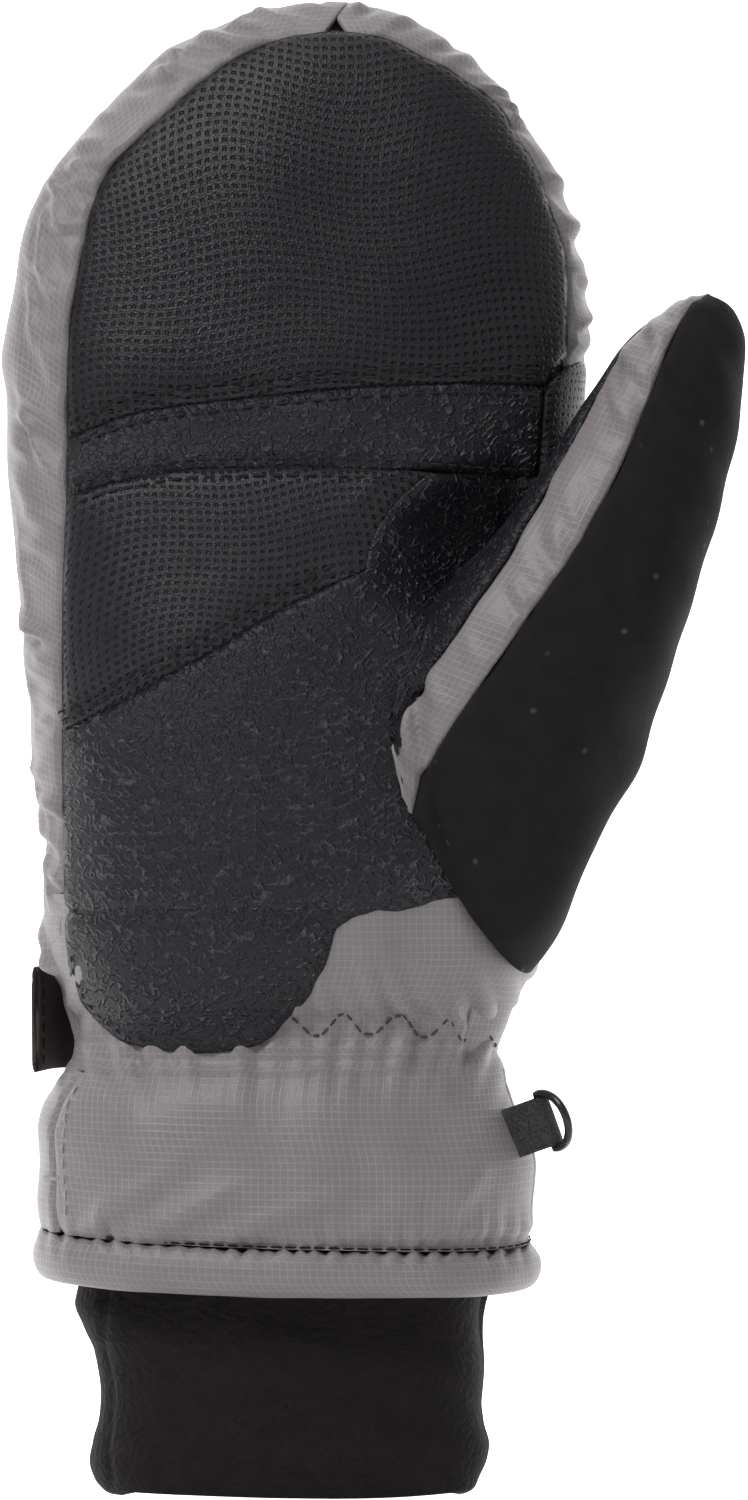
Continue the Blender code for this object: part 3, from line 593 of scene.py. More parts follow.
def inside(points, outline):
    hits = np.zeros(len(points), bool)
    x, z = points[:, 0], points[:, 1]
    for (ax, az), (bx, bz) in zip(outline, np.roll(outline, -1, axis=0)):
        if az == bz:
            continue
        crosses = ((az > z) != (bz > z)) & (x < (bx - ax) * (z - az) / (bz - az) + ax)
        hits ^= crosses
    return hits


def pillow_normal(x, z, side):
    step = 0.25
    slope_x = (pillow(x + step, z, side) - pillow(x - step, z, side)) / (2 * step)
    slope_z = (pillow(x, z + step, side) - pillow(x, z - step, side)) / (2 * step)
    normal = side * np.stack([-slope_x, np.ones_like(x), -slope_z], axis=1)
    return normal / np.linalg.norm(normal, axis=1, keepdims=True)


def cut_piece(name, outline, material, side=-1, step=1.3, lift=0.0, lip=1.4, relief=None, pattern=None):
    """A piece cut to an outline (x, z in mm) and laid on the pillow."""
    edge = np.asarray(outline)
    if step > 1.5:
        edge = smooth_line(np.concatenate([outline, outline[:1]]), step)[:-1]
    low, high = edge.min(axis=0), edge.max(axis=0)
    xs, zs = np.arange(low[0], high[0], step), np.arange(low[1], high[1], step * 0.866)
    field = np.array([(x + (step / 2 if k % 2 else 0), z) for k, z in enumerate(zs) for x in xs])
    closed = np.concatenate([edge, edge[:1]])
    field = field[inside(field, edge)]
    field = field[distance_to(field, closed)[0] > step * 0.55]
    both = np.concatenate([edge, field])
    found = geometry.delaunay_2d_cdt([Vector(p) for p in both.tolist()], [],
                                     [list(range(len(edge)))], 1, 1e-5)
    flat = np.array([tuple(v) for v in found[0]])
    faces = np.array(found[2])
    x, z = flat[:, 0], np.minimum(flat[:, 1], TIP_Z - 0.05)
    normal = pillow_normal(x, z, side)
    height = np.full(len(flat), float(lift))
    if relief is not None:
        height = height + relief(flat, distance_to(flat, closed)[0])
    points = np.stack([x, pillow(x, z, side), flat[:, 1]], axis=1) + normal * height[:, None]
    a, b, c = points[faces[:, 0]], points[faces[:, 1]], points[faces[:, 2]]
    turned = np.einsum("ij,ij->i", np.cross(b - a, c - a), normal[faces[:, 0]]) < 0
    faces[turned] = faces[turned][:, ::-1]
    sides = np.concatenate([faces[:, [0, 1]], faces[:, [1, 2]], faces[:, [2, 0]]])
    codes = sides[:, 0].astype(np.int64) * len(flat) + sides[:, 1]
    back = sides[:, 1].astype(np.int64) * len(flat) + sides[:, 0]
    free = sides[~np.isin(codes, back)]
    rim = np.unique(free)
    number = np.full(len(flat), -1)
    number[rim] = np.arange(len(rim)) + len(flat)
    points = np.concatenate([points, points[rim] - normal[rim] * lip])
    plan = np.concatenate([flat, flat[rim]])
    quads = [[b, a, number[a], number[b]] for a, b in free.tolist()]
    mesh = bpy.data.meshes.new(name)
    mesh.from_pydata((points * MM).tolist(), [], faces.tolist() + quads)
    placed = pattern(plan) if pattern is not None else plan
    layer = mesh.uv_layers.new(name="cloth")
    corner = np.zeros(len(mesh.loops), np.int32)
    mesh.loops.foreach_get("vertex_index", corner)
    layer.data.foreach_set("uv", (placed[corner] * MM).ravel())
    mesh.shade_smooth()
    piece = bpy.data.objects.new(name, mesh)
    bpy.context.scene.collection.objects.link(piece)
    piece.data.materials.append(material)
    size = flat.max(axis=0) - flat.min(axis=0)
    spread = math.sqrt(sum(face.area for face in mesh.polygons) / MM ** 2 / abs(area_of(edge)))
    remember_cut(float(size[0]) * spread, float(size[1]) * spread)
    return piece


def area_of(outline):
    x, z = outline[:, 0], outline[:, 1]
    return float(np.sum(x * np.roll(z, -1) - np.roll(x, -1) * z)) / 2


def put_on(piece, body, replaced=()):
    """Hangs a piece from a body's empty, or only fixes its place when given a bend, and hides the plain parts
    it stands for.
    """
    if isinstance(body, str):
        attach(piece, body)
    else:
        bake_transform(piece)
    if replaced:
        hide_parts(*replaced)
    return piece


FINGER_BEND = ("hand", "fingers", (0.0, -0.017, 0.222), (0.0, -0.017, 0.242))
THUMB_BEND = ("hand", "thumb", (0.028, -0.036, 0.167), (0.050, -0.036, 0.184))
WRIST_BEND = ("hand", "gauntlet", (0.0, 0.0, 0.101), (0.0, 0.0, 0.091))

# %% [markdown]
# ## The palm leather
# The gripping pieces are pressed with a net of ribs around small slanted pits, in rows that wander
# like waves. Between them lies a plain grained band where the fingers bend, and the heel of the
# hand has the same worm-like grain. The pits are a pattern on the piece's own flat map, which is
# bent here so that the rows wander, and a relief in the finish gives them depth.

# %% The pressed pits
def make_pit_group():
    group, into, out = new_group("pressed_pits", [("Place", VECTOR, None), ("Pitch", FLOAT, 0.0019)],
                                 [("Pit", FLOAT), ("Height", FLOAT), ("Streak", FLOAT)])
    wander = texture(group, "ShaderNodeTexNoise", into.outputs["Place"], 190.0, Detail=1.0)
    moved = group.nodes.new("ShaderNodeVectorMath")
    moved.operation = "MULTIPLY_ADD"
    group.links.new(wander.outputs["Color"], moved.inputs[0])
    moved.inputs[1].default_value = (0.0006, 0.0006, 0.0)
    group.links.new(into.outputs["Place"], moved.inputs[2])
    split = group.nodes.new("ShaderNodeSeparateXYZ")
    group.links.new(moved.outputs[0], split.inputs[0])
    row = math_node(group, "DIVIDE", split.outputs[1], into.outputs["Pitch"])
    column = math_node(group, "DIVIDE", split.outputs[0], into.outputs["Pitch"])
    walls = []
    for cell, wide in ((column, 0.27), (row, 0.25)):
        centred = math_node(group, "ABSOLUTE", math_node(group, "SUBTRACT",
                            math_node(group, "FRACT", cell), 0.5))
        wall = math_node(group, "MULTIPLY", math_node(group, "SUBTRACT", wide, centred), 7.0)
        walls.append(math_node(group, "MINIMUM", math_node(group, "MAXIMUM", wall, 0.0), 1.0))
    pit = math_node(group, "MULTIPLY", walls[0], walls[1])
    stretch = group.nodes.new("ShaderNodeMapping")
    stretch.inputs["Scale"].default_value = (40.0, 130.0, 1.0)
    group.links.new(moved.outputs[0], stretch.inputs["Vector"])
    streak = texture(group, "ShaderNodeTexNoise", stretch.outputs[0], 1.0, Detail=2.0)
    streaky = math_node(group, "MULTIPLY_ADD", streak.outputs["Fac"], 1.2, 0.15)
    deep = math_node(group, "MULTIPLY", pit, streaky)
    fine = texture(group, "ShaderNodeTexNoise", into.outputs["Place"], 2200.0, Detail=2.0)
    height = math_node(group, "MULTIPLY_ADD", fine.outputs["Fac"], 0.25,
                       math_node(group, "SUBTRACT", 1.0, deep))
    group.links.new(deep, out.inputs["Pit"])
    group.links.new(height, out.inputs["Height"])
    group.links.new(streak.outputs["Fac"], out.inputs["Streak"])
    return group


def pressed_leather(name, ground, light, painted_pit_shade):
    material, tree, shader, net = start_material(name, pressed_pits, specular=0.36)
    base = mix_colours(tree, net.outputs["Streak"], tuple(v * 0.75 for v in ground), light)
    # The pits take the darkest colour: painted shade in the pits.
    tree.links.new(mix_colours(tree, net.outputs["Pit"], base, painted_pit_shade), shader.inputs["Base Color"])
    tree.links.new(math_node(tree, "MULTIPLY_ADD", net.outputs["Pit"], 0.3, 0.30),
                   shader.inputs["Roughness"])
    add_bump(tree, shader, net.outputs["Height"], 0.0010)
    return material


pressed_pits = make_pit_group()
# The last colour of each is painted shade in the pits.
finger_grip = pressed_leather("pressed finger leather", (0.012, 0.012, 0.016), (0.021, 0.021, 0.027),
                              (0.002, 0.002, 0.003))
palm_grip = pressed_leather("pressed palm leather", (0.018, 0.0175, 0.023), (0.034, 0.033, 0.040),
                            (0.003, 0.003, 0.004))


def wandering_rows(plan):
    """Bends the flat map so that the rows of pits wander, and lean near the outer edge."""
    x, z = plan[:, 0], plan[:, 1]
    wave = 1.9 * np.sin(2 * np.pi * (x + 0.35 * z) / 52) + 1.2 * np.sin(2 * np.pi * (x - 0.6 * z) / 83 + 1.0)
    across = 1.3 * np.sin(2 * np.pi * (z + 0.3 * x) / 56 + 0.5)
    lean = 0.006 * np.minimum(x + 12, 0) ** 2
    return np.stack([x + across, z + wave + lean], axis=1)


def leather_relief(edge_depth=0.9, reach=2.0, swell=0.5, sewn=(), blended=None):
    """Leather rounds over into its seam, swells in between and dips along its rows of stitches."""
    def shape(flat, distance):
        fall = np.clip(1 - distance / reach, 0, 1) ** 2
        if blended is not None:
            near = distance_to(flat, on_palm(blended))[0]
            fall = fall * smooth_step(near, 0.5, 6)
            distance = np.where(near < 12, np.maximum(distance, 12 - near), distance)
        wide = noise_field(flat[:, 0], flat[:, 1], 34.0, 0.35)
        total = -edge_depth * fall + swell * smooth_step(distance, 0, 12) + wide * smooth_step(distance, 1, 8)
        for line, offset in sewn:
            away = distance_to(flat, on_palm(line))[0]
            total = total - 0.45 * np.exp(-((away - abs(offset)) / 0.65) ** 2)
        return total
    return shape


# %% Finger pad, bending band, palm grip and heel
def between(line, low=-1e9, high=1e9, axis=1):
    return line[(line[:, axis] >= low) & (line[:, axis] <= high)]


PALM_LIFT = 0.9
finger_pad_outline = np.concatenate([upper_line, index_line[::-1][4:], between(outer_line, 234.2)[::-1][1:]])
index_wrap_edge = smooth_line([(55.9, 244.2), (55.4, 238.3), (55.0, 231.2), (54.7, 224.2)])
band_outline = np.concatenate([lower_line, index_wrap_edge[::-1][1:], upper_line[::-1][1:],
                               between(outer_line, 221, 232)[::-1]])
grip_end = smooth_line([(15.6, 203.5), (16.6, 209.0), (19.0, 214.5), (23.5, 220.0), (30.0, 225.5)])
lower_right = between(lower_line, low=30.6, axis=0)
grip_lap = smooth_line([(17.2, 203.9), (18.2, 208.6), (20.5, 213.6), (24.8, 218.9), (31.2, 224.6)])
grip_outline = np.concatenate([diagonal_line, grip_lap, between(lower_line, high=31.0, axis=0)[::-1],
                               between(outer_line, 170, 218)[::-1]])
heel_side = smooth_line([(38.7, 130.7), (44.0, 140.0), (42.0, 152.0), (38.0, 165.0), (38.0, 180.0),
                         (46.0, 194.0), (54.0, 204.0), (57.0, 213.0), (55.4, 222.0)])
heel_outline = np.concatenate([tongue_line, heel_side[1:], lower_right[::-1], grip_end[::-1][1:],
                               diagonal_line[::-1][1:], between(outer_line, 123, 167)[::-1]])

finger_pad = cut_piece("finger_pad", on_palm(finger_pad_outline), finger_grip, lift=PALM_LIFT,
                       relief=leather_relief(sewn=[(upper_line, 1.9), (upper_line, 3.6)]),
                       pattern=wandering_rows)
flex_cover = cut_piece("finger_bend_band", on_palm(band_outline), grained_palm, lift=PALM_LIFT - 0.1,
                       relief=leather_relief(swell=0.9, sewn=[(upper_line, 1.9), (lower_line, 1.9)]))
palm_pad = cut_piece("palm_pad", on_palm(grip_outline), palm_grip, lift=PALM_LIFT,
                     relief=leather_relief(
                         sewn=[(lower_line, 1.9), (diagonal_line, 1.9), (diagonal_line, 3.7)],
                         blended=grip_end), pattern=wandering_rows)


def heel_relief(flat, distance):
    """The heel piece dips along the line of stitches that holds its lower tongue down."""
    base = leather_relief(swell=0.7, blended=grip_end)(flat, distance)
    line = np.exp(-((flat[:, 1] - 129.3) / 1.5) ** 2) * smooth_step(12 - flat[:, 0], 0, 4)
    inner = np.exp(-((distance - 3.0) / 0.8) ** 2) * smooth_step(126 - flat[:, 1], 0, 3)
    return base - 0.8 * line - 0.35 * inner


heel_pad = cut_piece("heel_pad", on_palm(heel_outline), grained_palm, lift=PALM_LIFT, relief=heel_relief)
put_on(finger_pad, "fingers", ["finger_grip_patch"])
put_on(flex_cover, FINGER_BEND, ["flex_band"])
put_on(palm_pad, "hand", ["palm_grip_patch"])
put_on(heel_pad, "hand", ["palm_heel_patch"])
print("palm pieces:", [len(p.data.vertices) for p in (finger_pad, flex_cover, palm_pad, heel_pad)])

# %% [markdown]
# ## The ripstop sides and back
# Grey ripstop cloth joins the palm to the back of the hand. Each side piece starts at the palm
# seam, rounds the edge of the mitten and ends in a seam behind it. Where the cloth is drawn into a
# seam that is shorter than itself, it gathers into small folds that fade across the piece.

# %% Side pieces and back
def silhouette(low, high, right):
    """The outline of the hand between two heights, going up."""
    w = np.linspace(from_tip(low), from_tip(high), 400)
    z = TIP_Z - w ** 2
    edges = hand_edges(z)
    return np.stack([edges[1 if right else 0], z], axis=1)


def even(points, count):
    run = np.concatenate([[0.0], np.cumsum(np.linalg.norm(np.diff(points, axis=0), axis=1))])
    return np.stack([np.interp(np.linspace(0, run[-1], count), run, points[:, k])
                     for k in range(points.shape[1])], axis=1)


def outward(points, centre):
    normal = normals_of(points)
    sign = np.sign(np.sum(normal * (points - np.asarray(centre, float))))
    return normal * sign, sign < 0


def side_grid(seam, outer, reach_back=0.16, cols=26, back_cols=10):
    """Rows of points from a seam on the palm, round the outline, to a line behind it."""
    rows = len(seam)
    front_q = np.sin(np.linspace(0, np.pi / 2, cols))
    grid = np.zeros((rows, cols + back_cols, 3))
    for row in range(rows):
        place = seam[row] + (outer[row] - seam[row]) * front_q[:, None]
        grid[row, :cols, 0], grid[row, :cols, 2] = place[:, 0], place[:, 1]
        inward = (seam[row] - outer[row]) / max(np.linalg.norm(seam[row] - outer[row]), 1e-6)
        reach = np.linspace(0, 1, back_cols + 1)[1:] ** 2 * 3.5
        behind = outer[row] + inward * reach[:, None]
        grid[row, cols:, 0], grid[row, cols:, 2] = behind[:, 0], behind[:, 1]
    grid[..., 2] = np.minimum(grid[..., 2], TIP_Z - 0.02)
    grid[:, :cols, 1] = pillow(grid[:, :cols, 0], grid[:, :cols, 2], -1)
    grid[:, cols:, 1] = pillow(grid[:, cols:, 0], grid[:, cols:, 2], 1)
    grid[:, cols - 1, 1] = 0.0
    return grid


def cloth_piece(name, grid, material, centre, heights, lip=1.0, uv=None, closed=False):
    """Pushes a grid out by heights and makes the piece, facing away from the centre."""
    normal, flipped = outward(grid, centre)
    shaped = grid + normal * np.asarray(heights)[..., None]
    return panel(name, shaped, material, lip=lip, closed=closed, flip=flipped, uv=uv)


TIP_SEAM_X = 11.8
outer_palm = on_palm(np.concatenate([[(-46.0, 99.0), (-48.2, 108.0)], between(outer_line, 114.0),
                                     [(TIP_SEAM_X + 0.8, 322.2)]]))
index_palm = on_palm(np.concatenate([[(TIP_SEAM_X - 4.0, 322.4)], between(index_line, -1e9, 1e9)[3:]]))
outer_seam = even(smooth_line(outer_palm[::4]), 300)
outer_rim = even(np.concatenate([silhouette(97.5, 328.6, False), [(TIP_SEAM_X + 0.8, TIP_Z - 0.15)]]), 300)
outer_grid = side_grid(outer_seam, outer_rim)
a, b, c, d = edge_distance(outer_grid)
calm_rim = 1 - 0.75 * smooth_step(a / np.maximum(a + b, 1), 0.45, 0.8)
folds = (pucker(c, a, 9, 10, 0.7) + noise_field(c, a * 0.6, 20, 0.35)
         + creases(c, a, 60, 7, 1.3, 1.25, (0, 2), (300, 16))
         + creases(c, a, 30, 11, 0.9, 0.5, (0, 6), (300, 16)))
under_tongue = -1.6 * (1 - smooth_step(outer_grid[..., 2], 114, 124)) * (1 - smooth_step(a, 2, 9))
at_tip = smooth_step(d, 1, 9)
heights = seam_dip((a,), 1.5, 2.6) * at_tip + folds * calm_rim * at_tip + under_tongue
outer_gusset = cloth_piece("outer_side_cloth", outer_grid, grey_cloth, (0, 0, 220), heights)
put_on(outer_gusset, FINGER_BEND, ["hand_outer_gusset", "finger_outer_gusset"])

index_seam = even(smooth_line(index_palm[::-4]), 150)
index_rim = even(np.concatenate([silhouette(243.0, 328.6, True), [(TIP_SEAM_X - 4.0, TIP_Z - 0.2)]]), 150)
index_grid = side_grid(index_seam, index_rim)
a, b, c, d = edge_distance(index_grid)
folds = (pucker(c, a, 9, 8, 0.55) + noise_field(c, a * 0.6, 17, 0.3)
         + creases(c, a, 30, 7, 1.2, 1.3, (0, 2), (120, 12)))
at_tip = smooth_step(d, 1, 9)
heights = ((seam_dip((a,), 1.5, 2.6) + folds) * at_tip
           * (1 - 0.8 * smooth_step(a / np.maximum(a + b, 1), 0.45, 0.8)) - 0.3 * (1 - at_tip))
index_gusset = cloth_piece("index_side_cloth", index_grid, grey_cloth, (0, 0, 280), heights)
put_on(index_gusset, FINGER_BEND, ["finger_index_gusset"])

wrap_seam = even(on_palm(smooth_line([(54.0, 221.0), (55.0, 231.2), (55.4, 238.3), (56.4, 244.2),
                                      (60.3, 248.6)])), 60)
wrap_rim = even(silhouette(220.0, 249.5, True), 60)
wrap_grid = side_grid(wrap_seam, wrap_rim)
a, b, c, d = edge_distance(wrap_grid)
index_wrap = cloth_piece("index_wrap_leather", wrap_grid, palm_grip, (0, 0, 235),
                         seam_dip((a, d), 1.1, 2.0) + 0.9)
put_on(index_wrap, FINGER_BEND, ["index_wrap_patch"])

seam_heights = np.linspace(99, 224, 80)
low_seam = even(np.stack([hand_edges(seam_heights)[1] - 9.0, seam_heights], axis=1), 110)
low_rim = even(silhouette(98.0, 224.0, True), 110)
low_grid = side_grid(low_seam, low_rim)
a, b, c, d = edge_distance(low_grid)
hand_side = cloth_piece("hand_side_cloth", low_grid, grey_cloth, (0, 0, 160),
                        noise_field(c, a, 22, 0.4) - 0.3)
put_on(hand_side, "hand", ["hand_index_gusset"])

back_outline = np.concatenate([
    np.stack([hand_edges(np.linspace(99, 318, 120))[0] + 2.6, np.linspace(99, 318, 120)], axis=1),
    smooth_line([(-22, 319.5), (-10, 323.6), (9, 326.4), (24, 324.0), (33, 319.0)], 2.0),
    np.stack([hand_edges(np.linspace(318, 99, 120))[1] - 2.6, np.linspace(318, 99, 120)], axis=1)])


def back_relief(flat, distance):
    knuckles = 0.9 * np.exp(-((flat[:, 1] - 232) / 5.0) ** 2)
    return (-1.2 * np.clip(1 - distance / 3, 0, 1) ** 2 + noise_field(flat[:, 0], flat[:, 1], 36, 0.8)
            * smooth_step(distance, 2, 16) - knuckles * smooth_step(distance, 2, 10))


back_panel = cut_piece("back_of_hand", back_outline, grey_cloth, side=1, step=2.2, relief=back_relief)
put_on(back_panel, FINGER_BEND, ["hand_back_panel", "finger_back_panel"])
print("side and back cloth made")

# %% [markdown]
# ## The thumb
# The thumb is a bent tube that leaves the palm and comes forward. A grey ripstop strip climbs its
# front; black leather faces the fingers, soft stretch cloth faces outward and grey cloth covers the
# back. All four are cut from one set of rings, so they meet exactly.

# %% Thumb rings and pieces
THUMB = [  # inner point (x, z), outer point (x, z), middle y, half depth, strip start, strip end
    (12, 138, 42, 106, -8, 16, 0.0, 0.0), (24.4, 152.7, 57, 121.5, -13, 19, 0.0, 0.07),
    (22.2, 166, 68.5, 146, -16, 22.5, 0.0, 0.18), (24, 180, 77.5, 166, -18, 24, 0.09, 0.29),
    (31, 195.5, 84, 183.5, -19.5, 24, 0.143, 0.36), (42.5, 209, 89, 198, -20.5, 22.5, 0.11, 0.376),
    (54.5, 224, 92.6, 213, -21, 20.5, 0.06, 0.37), (65.3, 241, 97, 230, -21.5, 18, 0.02, 0.35),
    (73, 252.5, 99.6, 245, -22, 15, 0.0, 0.31), (80.5, 259.5, 99.3, 254, -22, 11, 0.0, 0.24),
    (86, 263.4, 96.5, 260.5, -22, 6.5, 0.0, 0.2), (91.8, 264.6, 91.8, 264.6, -22, 0, 0.0, 0.2)]
THUMB_POWER = 2.15


def thumb_values(rings):
    place = np.sqrt(LAST_RING - np.arange(LAST_RING + 1))[::-1]
    return hermite(place, THUMB_TABLE[::-1], np.sqrt(np.maximum(LAST_RING - np.asarray(rings), 0)))


def thumb_point(values, angle):
    """A place on the thumb; 0 is the outer side, a quarter turn on is the front."""
    inner, outer = values[..., 0:2], values[..., 2:4]
    middle, half = (inner + outer) / 2, (outer - inner) / 2
    c, s = np.cos(angle), np.sin(angle)
    power = 2 / THUMB_POWER
    across = np.sign(c) * np.abs(c) ** power
    deep = np.sign(s) * np.abs(s) ** power
    flat = middle + half * across[..., None]
    return np.stack([flat[..., 0], values[..., 4] - values[..., 5] * deep, flat[..., 1]], axis=-1)


def angle_of(share):
    """The angle on the front where a share of the way from the inner to the outer side lies."""
    c = np.clip(2 * share - 1, -1, 1)
    return np.arccos(np.sign(c) * np.abs(c) ** (THUMB_POWER / 2))


def seen_thumb():
    """The thumb's rings, brought back from how they look to where they are."""
    table = np.array(THUMB, float)
    depth = np.minimum(table[:, 4] + 2, 0)
    for first in (0, 2):
        table[:, first], table[:, first + 1] = brought_back(table[:, first], table[:, first + 1], depth)
    return table


THUMB_TABLE = seen_thumb()
LAST_RING = len(THUMB_TABLE) - 1
row_shares = np.concatenate([np.linspace(0, 0.82, 110), 1 - np.linspace(np.sqrt(0.18), 0.002, 44)[1:] ** 2])
BACK_OUTER, BACK_INNER = -0.55, np.pi + 0.75
BASE_RING = {"strip inner": 1.12, "strip outer": 1.0, "outer back": 1.0, "inner back": 1.0}


def border_angle(border, rings):
    """Where one of the four lengthwise thumb seams lies on each ring."""
    if border in ("strip inner", "strip outer"):
        share = thumb_values(rings)[..., 6 if border == "strip inner" else 7]
        return angle_of(share)
    return np.full(np.shape(rings), BACK_OUTER if border == "outer back" else BACK_INNER)


def thumb_grid(start, end, cols, base_bulge=0.0, around=0.0):
    """Rows of points from one lengthwise seam to the next, starting at the base seam."""
    share = np.linspace(0, 1, cols)
    base = (BASE_RING[start] + (BASE_RING[end] - BASE_RING[start]) * share
            - base_bulge * np.sin(np.pi * share ** 0.8))
    rings = base[None] + (LAST_RING - base)[None] * row_shares[:, None]
    first, last = border_angle(start, rings), border_angle(end, rings) + around
    angles = first + (last - first) * share[None]
    return keep_on_palm(thumb_point(thumb_values(rings), angles), angles)


def keep_on_palm(grid, angles):
    """Where the thumb would sink into the hand, its front lies on the palm and its back just below."""
    x, z = grid[..., 0], grid[..., 2]
    left, right, front, back = hand_edges(z)
    within = (x < right - 0.5) & (x > left)
    behind = smooth_step(np.mod(angles + 1.2, 2 * np.pi) - 1.2, np.pi, np.pi + 0.35)
    surface = pillow(x, z, -1) - 2.5 + 3.4 * behind
    out = grid.copy()
    out[..., 1] = np.where(within & (grid[..., 1] > surface), surface, grid[..., 1])
    return out


def thumb_piece(name, start, end, cols, material, relief, lift=0.0, base_bulge=0.0, around=0.0):
    grid = thumb_grid(start, end, cols, base_bulge, around)
    left, right, low, high = edge_distance(grid)
    heights = seam_dip((left, right), 0.9, 1.9) + relief(low, left, right) + lift
    heights = heights * smooth_step(np.linalg.norm(grid - grid[-1].mean(axis=0), axis=2), 0, 6)
    return cloth_piece(name, grid, material, (60, -18, 190), heights, lip=0.8)


strip = thumb_piece("thumb_front_strip", "strip outer", "strip inner", 26, grey_cloth,
                    lambda along, a, b: pucker(along, a, 8, 7, 0.7) + noise_field(along, a, 24, 0.25)
                    + creases(along, a, 34, 7, 0.7, 0.9, (0, 2), (150, 12)))
outer_thumb = thumb_piece("thumb_outer_stretch", "outer back", "strip outer", 52, softshell,
                          lambda along, a, b: pucker(along, b, 14, 10, 0.5)
                          + noise_field(along, a, 30, 0.7), 0.2, base_bulge=0.42)
inner_thumb = thumb_piece("thumb_inner_leather", "strip inner", "inner back", 34, grained_palm,
                          lambda along, a, b: noise_field(along, a, 24, 0.3), 0.3)
back_thumb = thumb_piece("thumb_back_cloth", "inner back", "outer back", 34, grey_cloth,
                         lambda along, a, b: noise_field(along, a, 24, 0.4), around=2 * np.pi)
for item, nodes, where in ((strip, ["thumb_strip"], "grey_ripstop"),
                           (outer_thumb, ["thumb_outer_panel"], "softshell"),
                           (inner_thumb, ["thumb_inner_patch"], "grained_palm"),
                           (back_thumb, ["thumb_back_panel"], "grey_ripstop")):
    put_on(item, THUMB_BEND, nodes)
print("thumb pieces made from", len(row_shares), "rings")

# %% [markdown]
# ## Wrist, gauntlet, hem and cuff
# Below the palm the same grey cloth runs on. Elastic sewn across the wrist with a zigzag gathers it
# into upright puffs. The gauntlet flares below that and ends in a thick rolled hem, and a brushed
# knit cuff hangs out of it. The rings here run all the way round, from the palm side to the back.

# %% Rings around the wrist
ELASTIC_Z = 100.5
GATHER_Z = 104.0
GATHER_WIDTHS = [(6.4, 1.0), (8.9, 0.7), (12.6, 0.5)]
GATHER_PHASES = rng.uniform(0, 2 * np.pi, 6)


def gathers(x, z, middle=GATHER_Z):
    """Upright puffs that start at the elastic and fade above and below it."""
    away = z - middle
    spread = x + 0.010 * (x + 4) * np.abs(away)
    wave = np.zeros_like(x)
    for k, (length, share) in enumerate(GATHER_WIDTHS):
        bend = 0.7 * np.sin(spread / (2.3 * length) + GATHER_PHASES[k + 3] + 0.05 * away)
        wave += share * (np.abs(np.sin(np.pi * spread / length + bend + GATHER_PHASES[k])) - 0.64)
    fade = np.where(away > 0, np.exp(-np.maximum(away - 3, 0) / 6), np.exp(-np.maximum(-away - 3, 0) / 5.5))
    strength = (0.55 + 0.45 * smooth_step(np.abs(away), 1.5, 5)) * fade
    return 1.9 * wave * strength - 0.9 * np.exp(-(away / 3.4) ** 4)


SWELL = [(rng.uniform(0, 6.3), rng.uniform(12, 34), rng.uniform(0, 6.3)) for _ in range(12)]


def swell(x, z):
    """The same gentle unevenness for every piece around the wrist, so that they meet."""
    total = np.zeros_like(x)
    for turn, length, phase in SWELL:
        total += np.sin(2 * np.pi * (x * math.cos(turn) + z * math.sin(turn)) / length + phase)
    return 0.12 * total


def wrist_ring_grid(z_low, z_high, rows, start, end, cols):
    """Rows around the wrist; angle 0 is the index side, a quarter turn on is the palm."""
    angles = np.linspace(start, end, cols)
    share = np.linspace(0, 1, rows)[:, None]
    grid = np.zeros((rows, cols, 3))
    c, s = np.cos(angles), np.sin(angles)
    power = 2 / SQUARENESS
    low = z_low(angles) if callable(z_low) else np.full(cols, float(z_low))
    high = z_high(angles) if callable(z_high) else np.full(cols, float(z_high))
    z = low[None] + (high - low)[None] * share
    left, right, front, back = hand_edges(z)
    middle, half = (left + right) / 2, (right - left) / 2
    grid[..., 0] = middle + half * np.sign(c) * np.abs(c) ** power
    deep = np.abs(s) ** power
    grid[..., 1] = np.where(s > 0, -front, back) * deep
    grid[..., 2] = z
    return grid


def front_weight(angles):
    return np.clip(np.sin(angles), 0, 1)


HEM_TOP_MIDDLE, HEM_TOP_SIDE = 57.3, 58.3
HEM_LOW_MIDDLE, HEM_LOW_SIDE = 47.2, 48.0


def hem_top(angles):
    tilt = 1.8 * -np.cos(angles)
    return HEM_TOP_SIDE - (HEM_TOP_SIDE - HEM_TOP_MIDDLE) * front_weight(angles) ** 0.6 + tilt


def hem_low(angles):
    tilt = 1.2 * -np.cos(angles)
    return HEM_LOW_SIDE - (HEM_LOW_SIDE - HEM_LOW_MIDDLE) * front_weight(angles) ** 0.6 + tilt


SIDE_LEFT, SIDE_RIGHT = np.pi - 0.42, 0.12
wrist_grid = wrist_ring_grid(ELASTIC_Z, 133, 44, -0.24, np.pi + 0.15, 190)
x, z = wrist_grid[..., 0], wrist_grid[..., 2]
wrist_front = cloth_piece("wrist_front_cloth", wrist_grid, grey_cloth, (0, 20, 115),
                          gathers(x, z) + swell(x, z), lip=0)
put_on(wrist_front, "hand", ["wrist_front_panel"])

gather_grid = wrist_ring_grid(94.5, ELASTIC_Z + 0.3, 16, 0, 2 * np.pi * 239 / 240, 240)
x, z = gather_grid[..., 0], gather_grid[..., 2]
gather = cloth_piece("gathered_wrist", gather_grid, grey_cloth, (0, 0, 98),
                     gathers(x, z) + swell(x, z), closed=True, lip=0)
put_on(gather, WRIST_BEND, ["wrist_gather"])


HEM_PUFF_PHASES = rng.uniform(0, 2 * np.pi, 4)


def hem_puffs(x):
    """Tiny puffs that the hem seam pulls into the cloth above and below it."""
    wave = 0
    for k, (length, share) in enumerate(((3.9, 1.0), (5.3, 0.7))):
        bend = 0.8 * np.sin(x / (1.9 * length) + HEM_PUFF_PHASES[k + 2])
        wave = wave + share * (np.abs(np.sin(np.pi * x / length + bend + HEM_PUFF_PHASES[k])) - 0.64)
    return wave


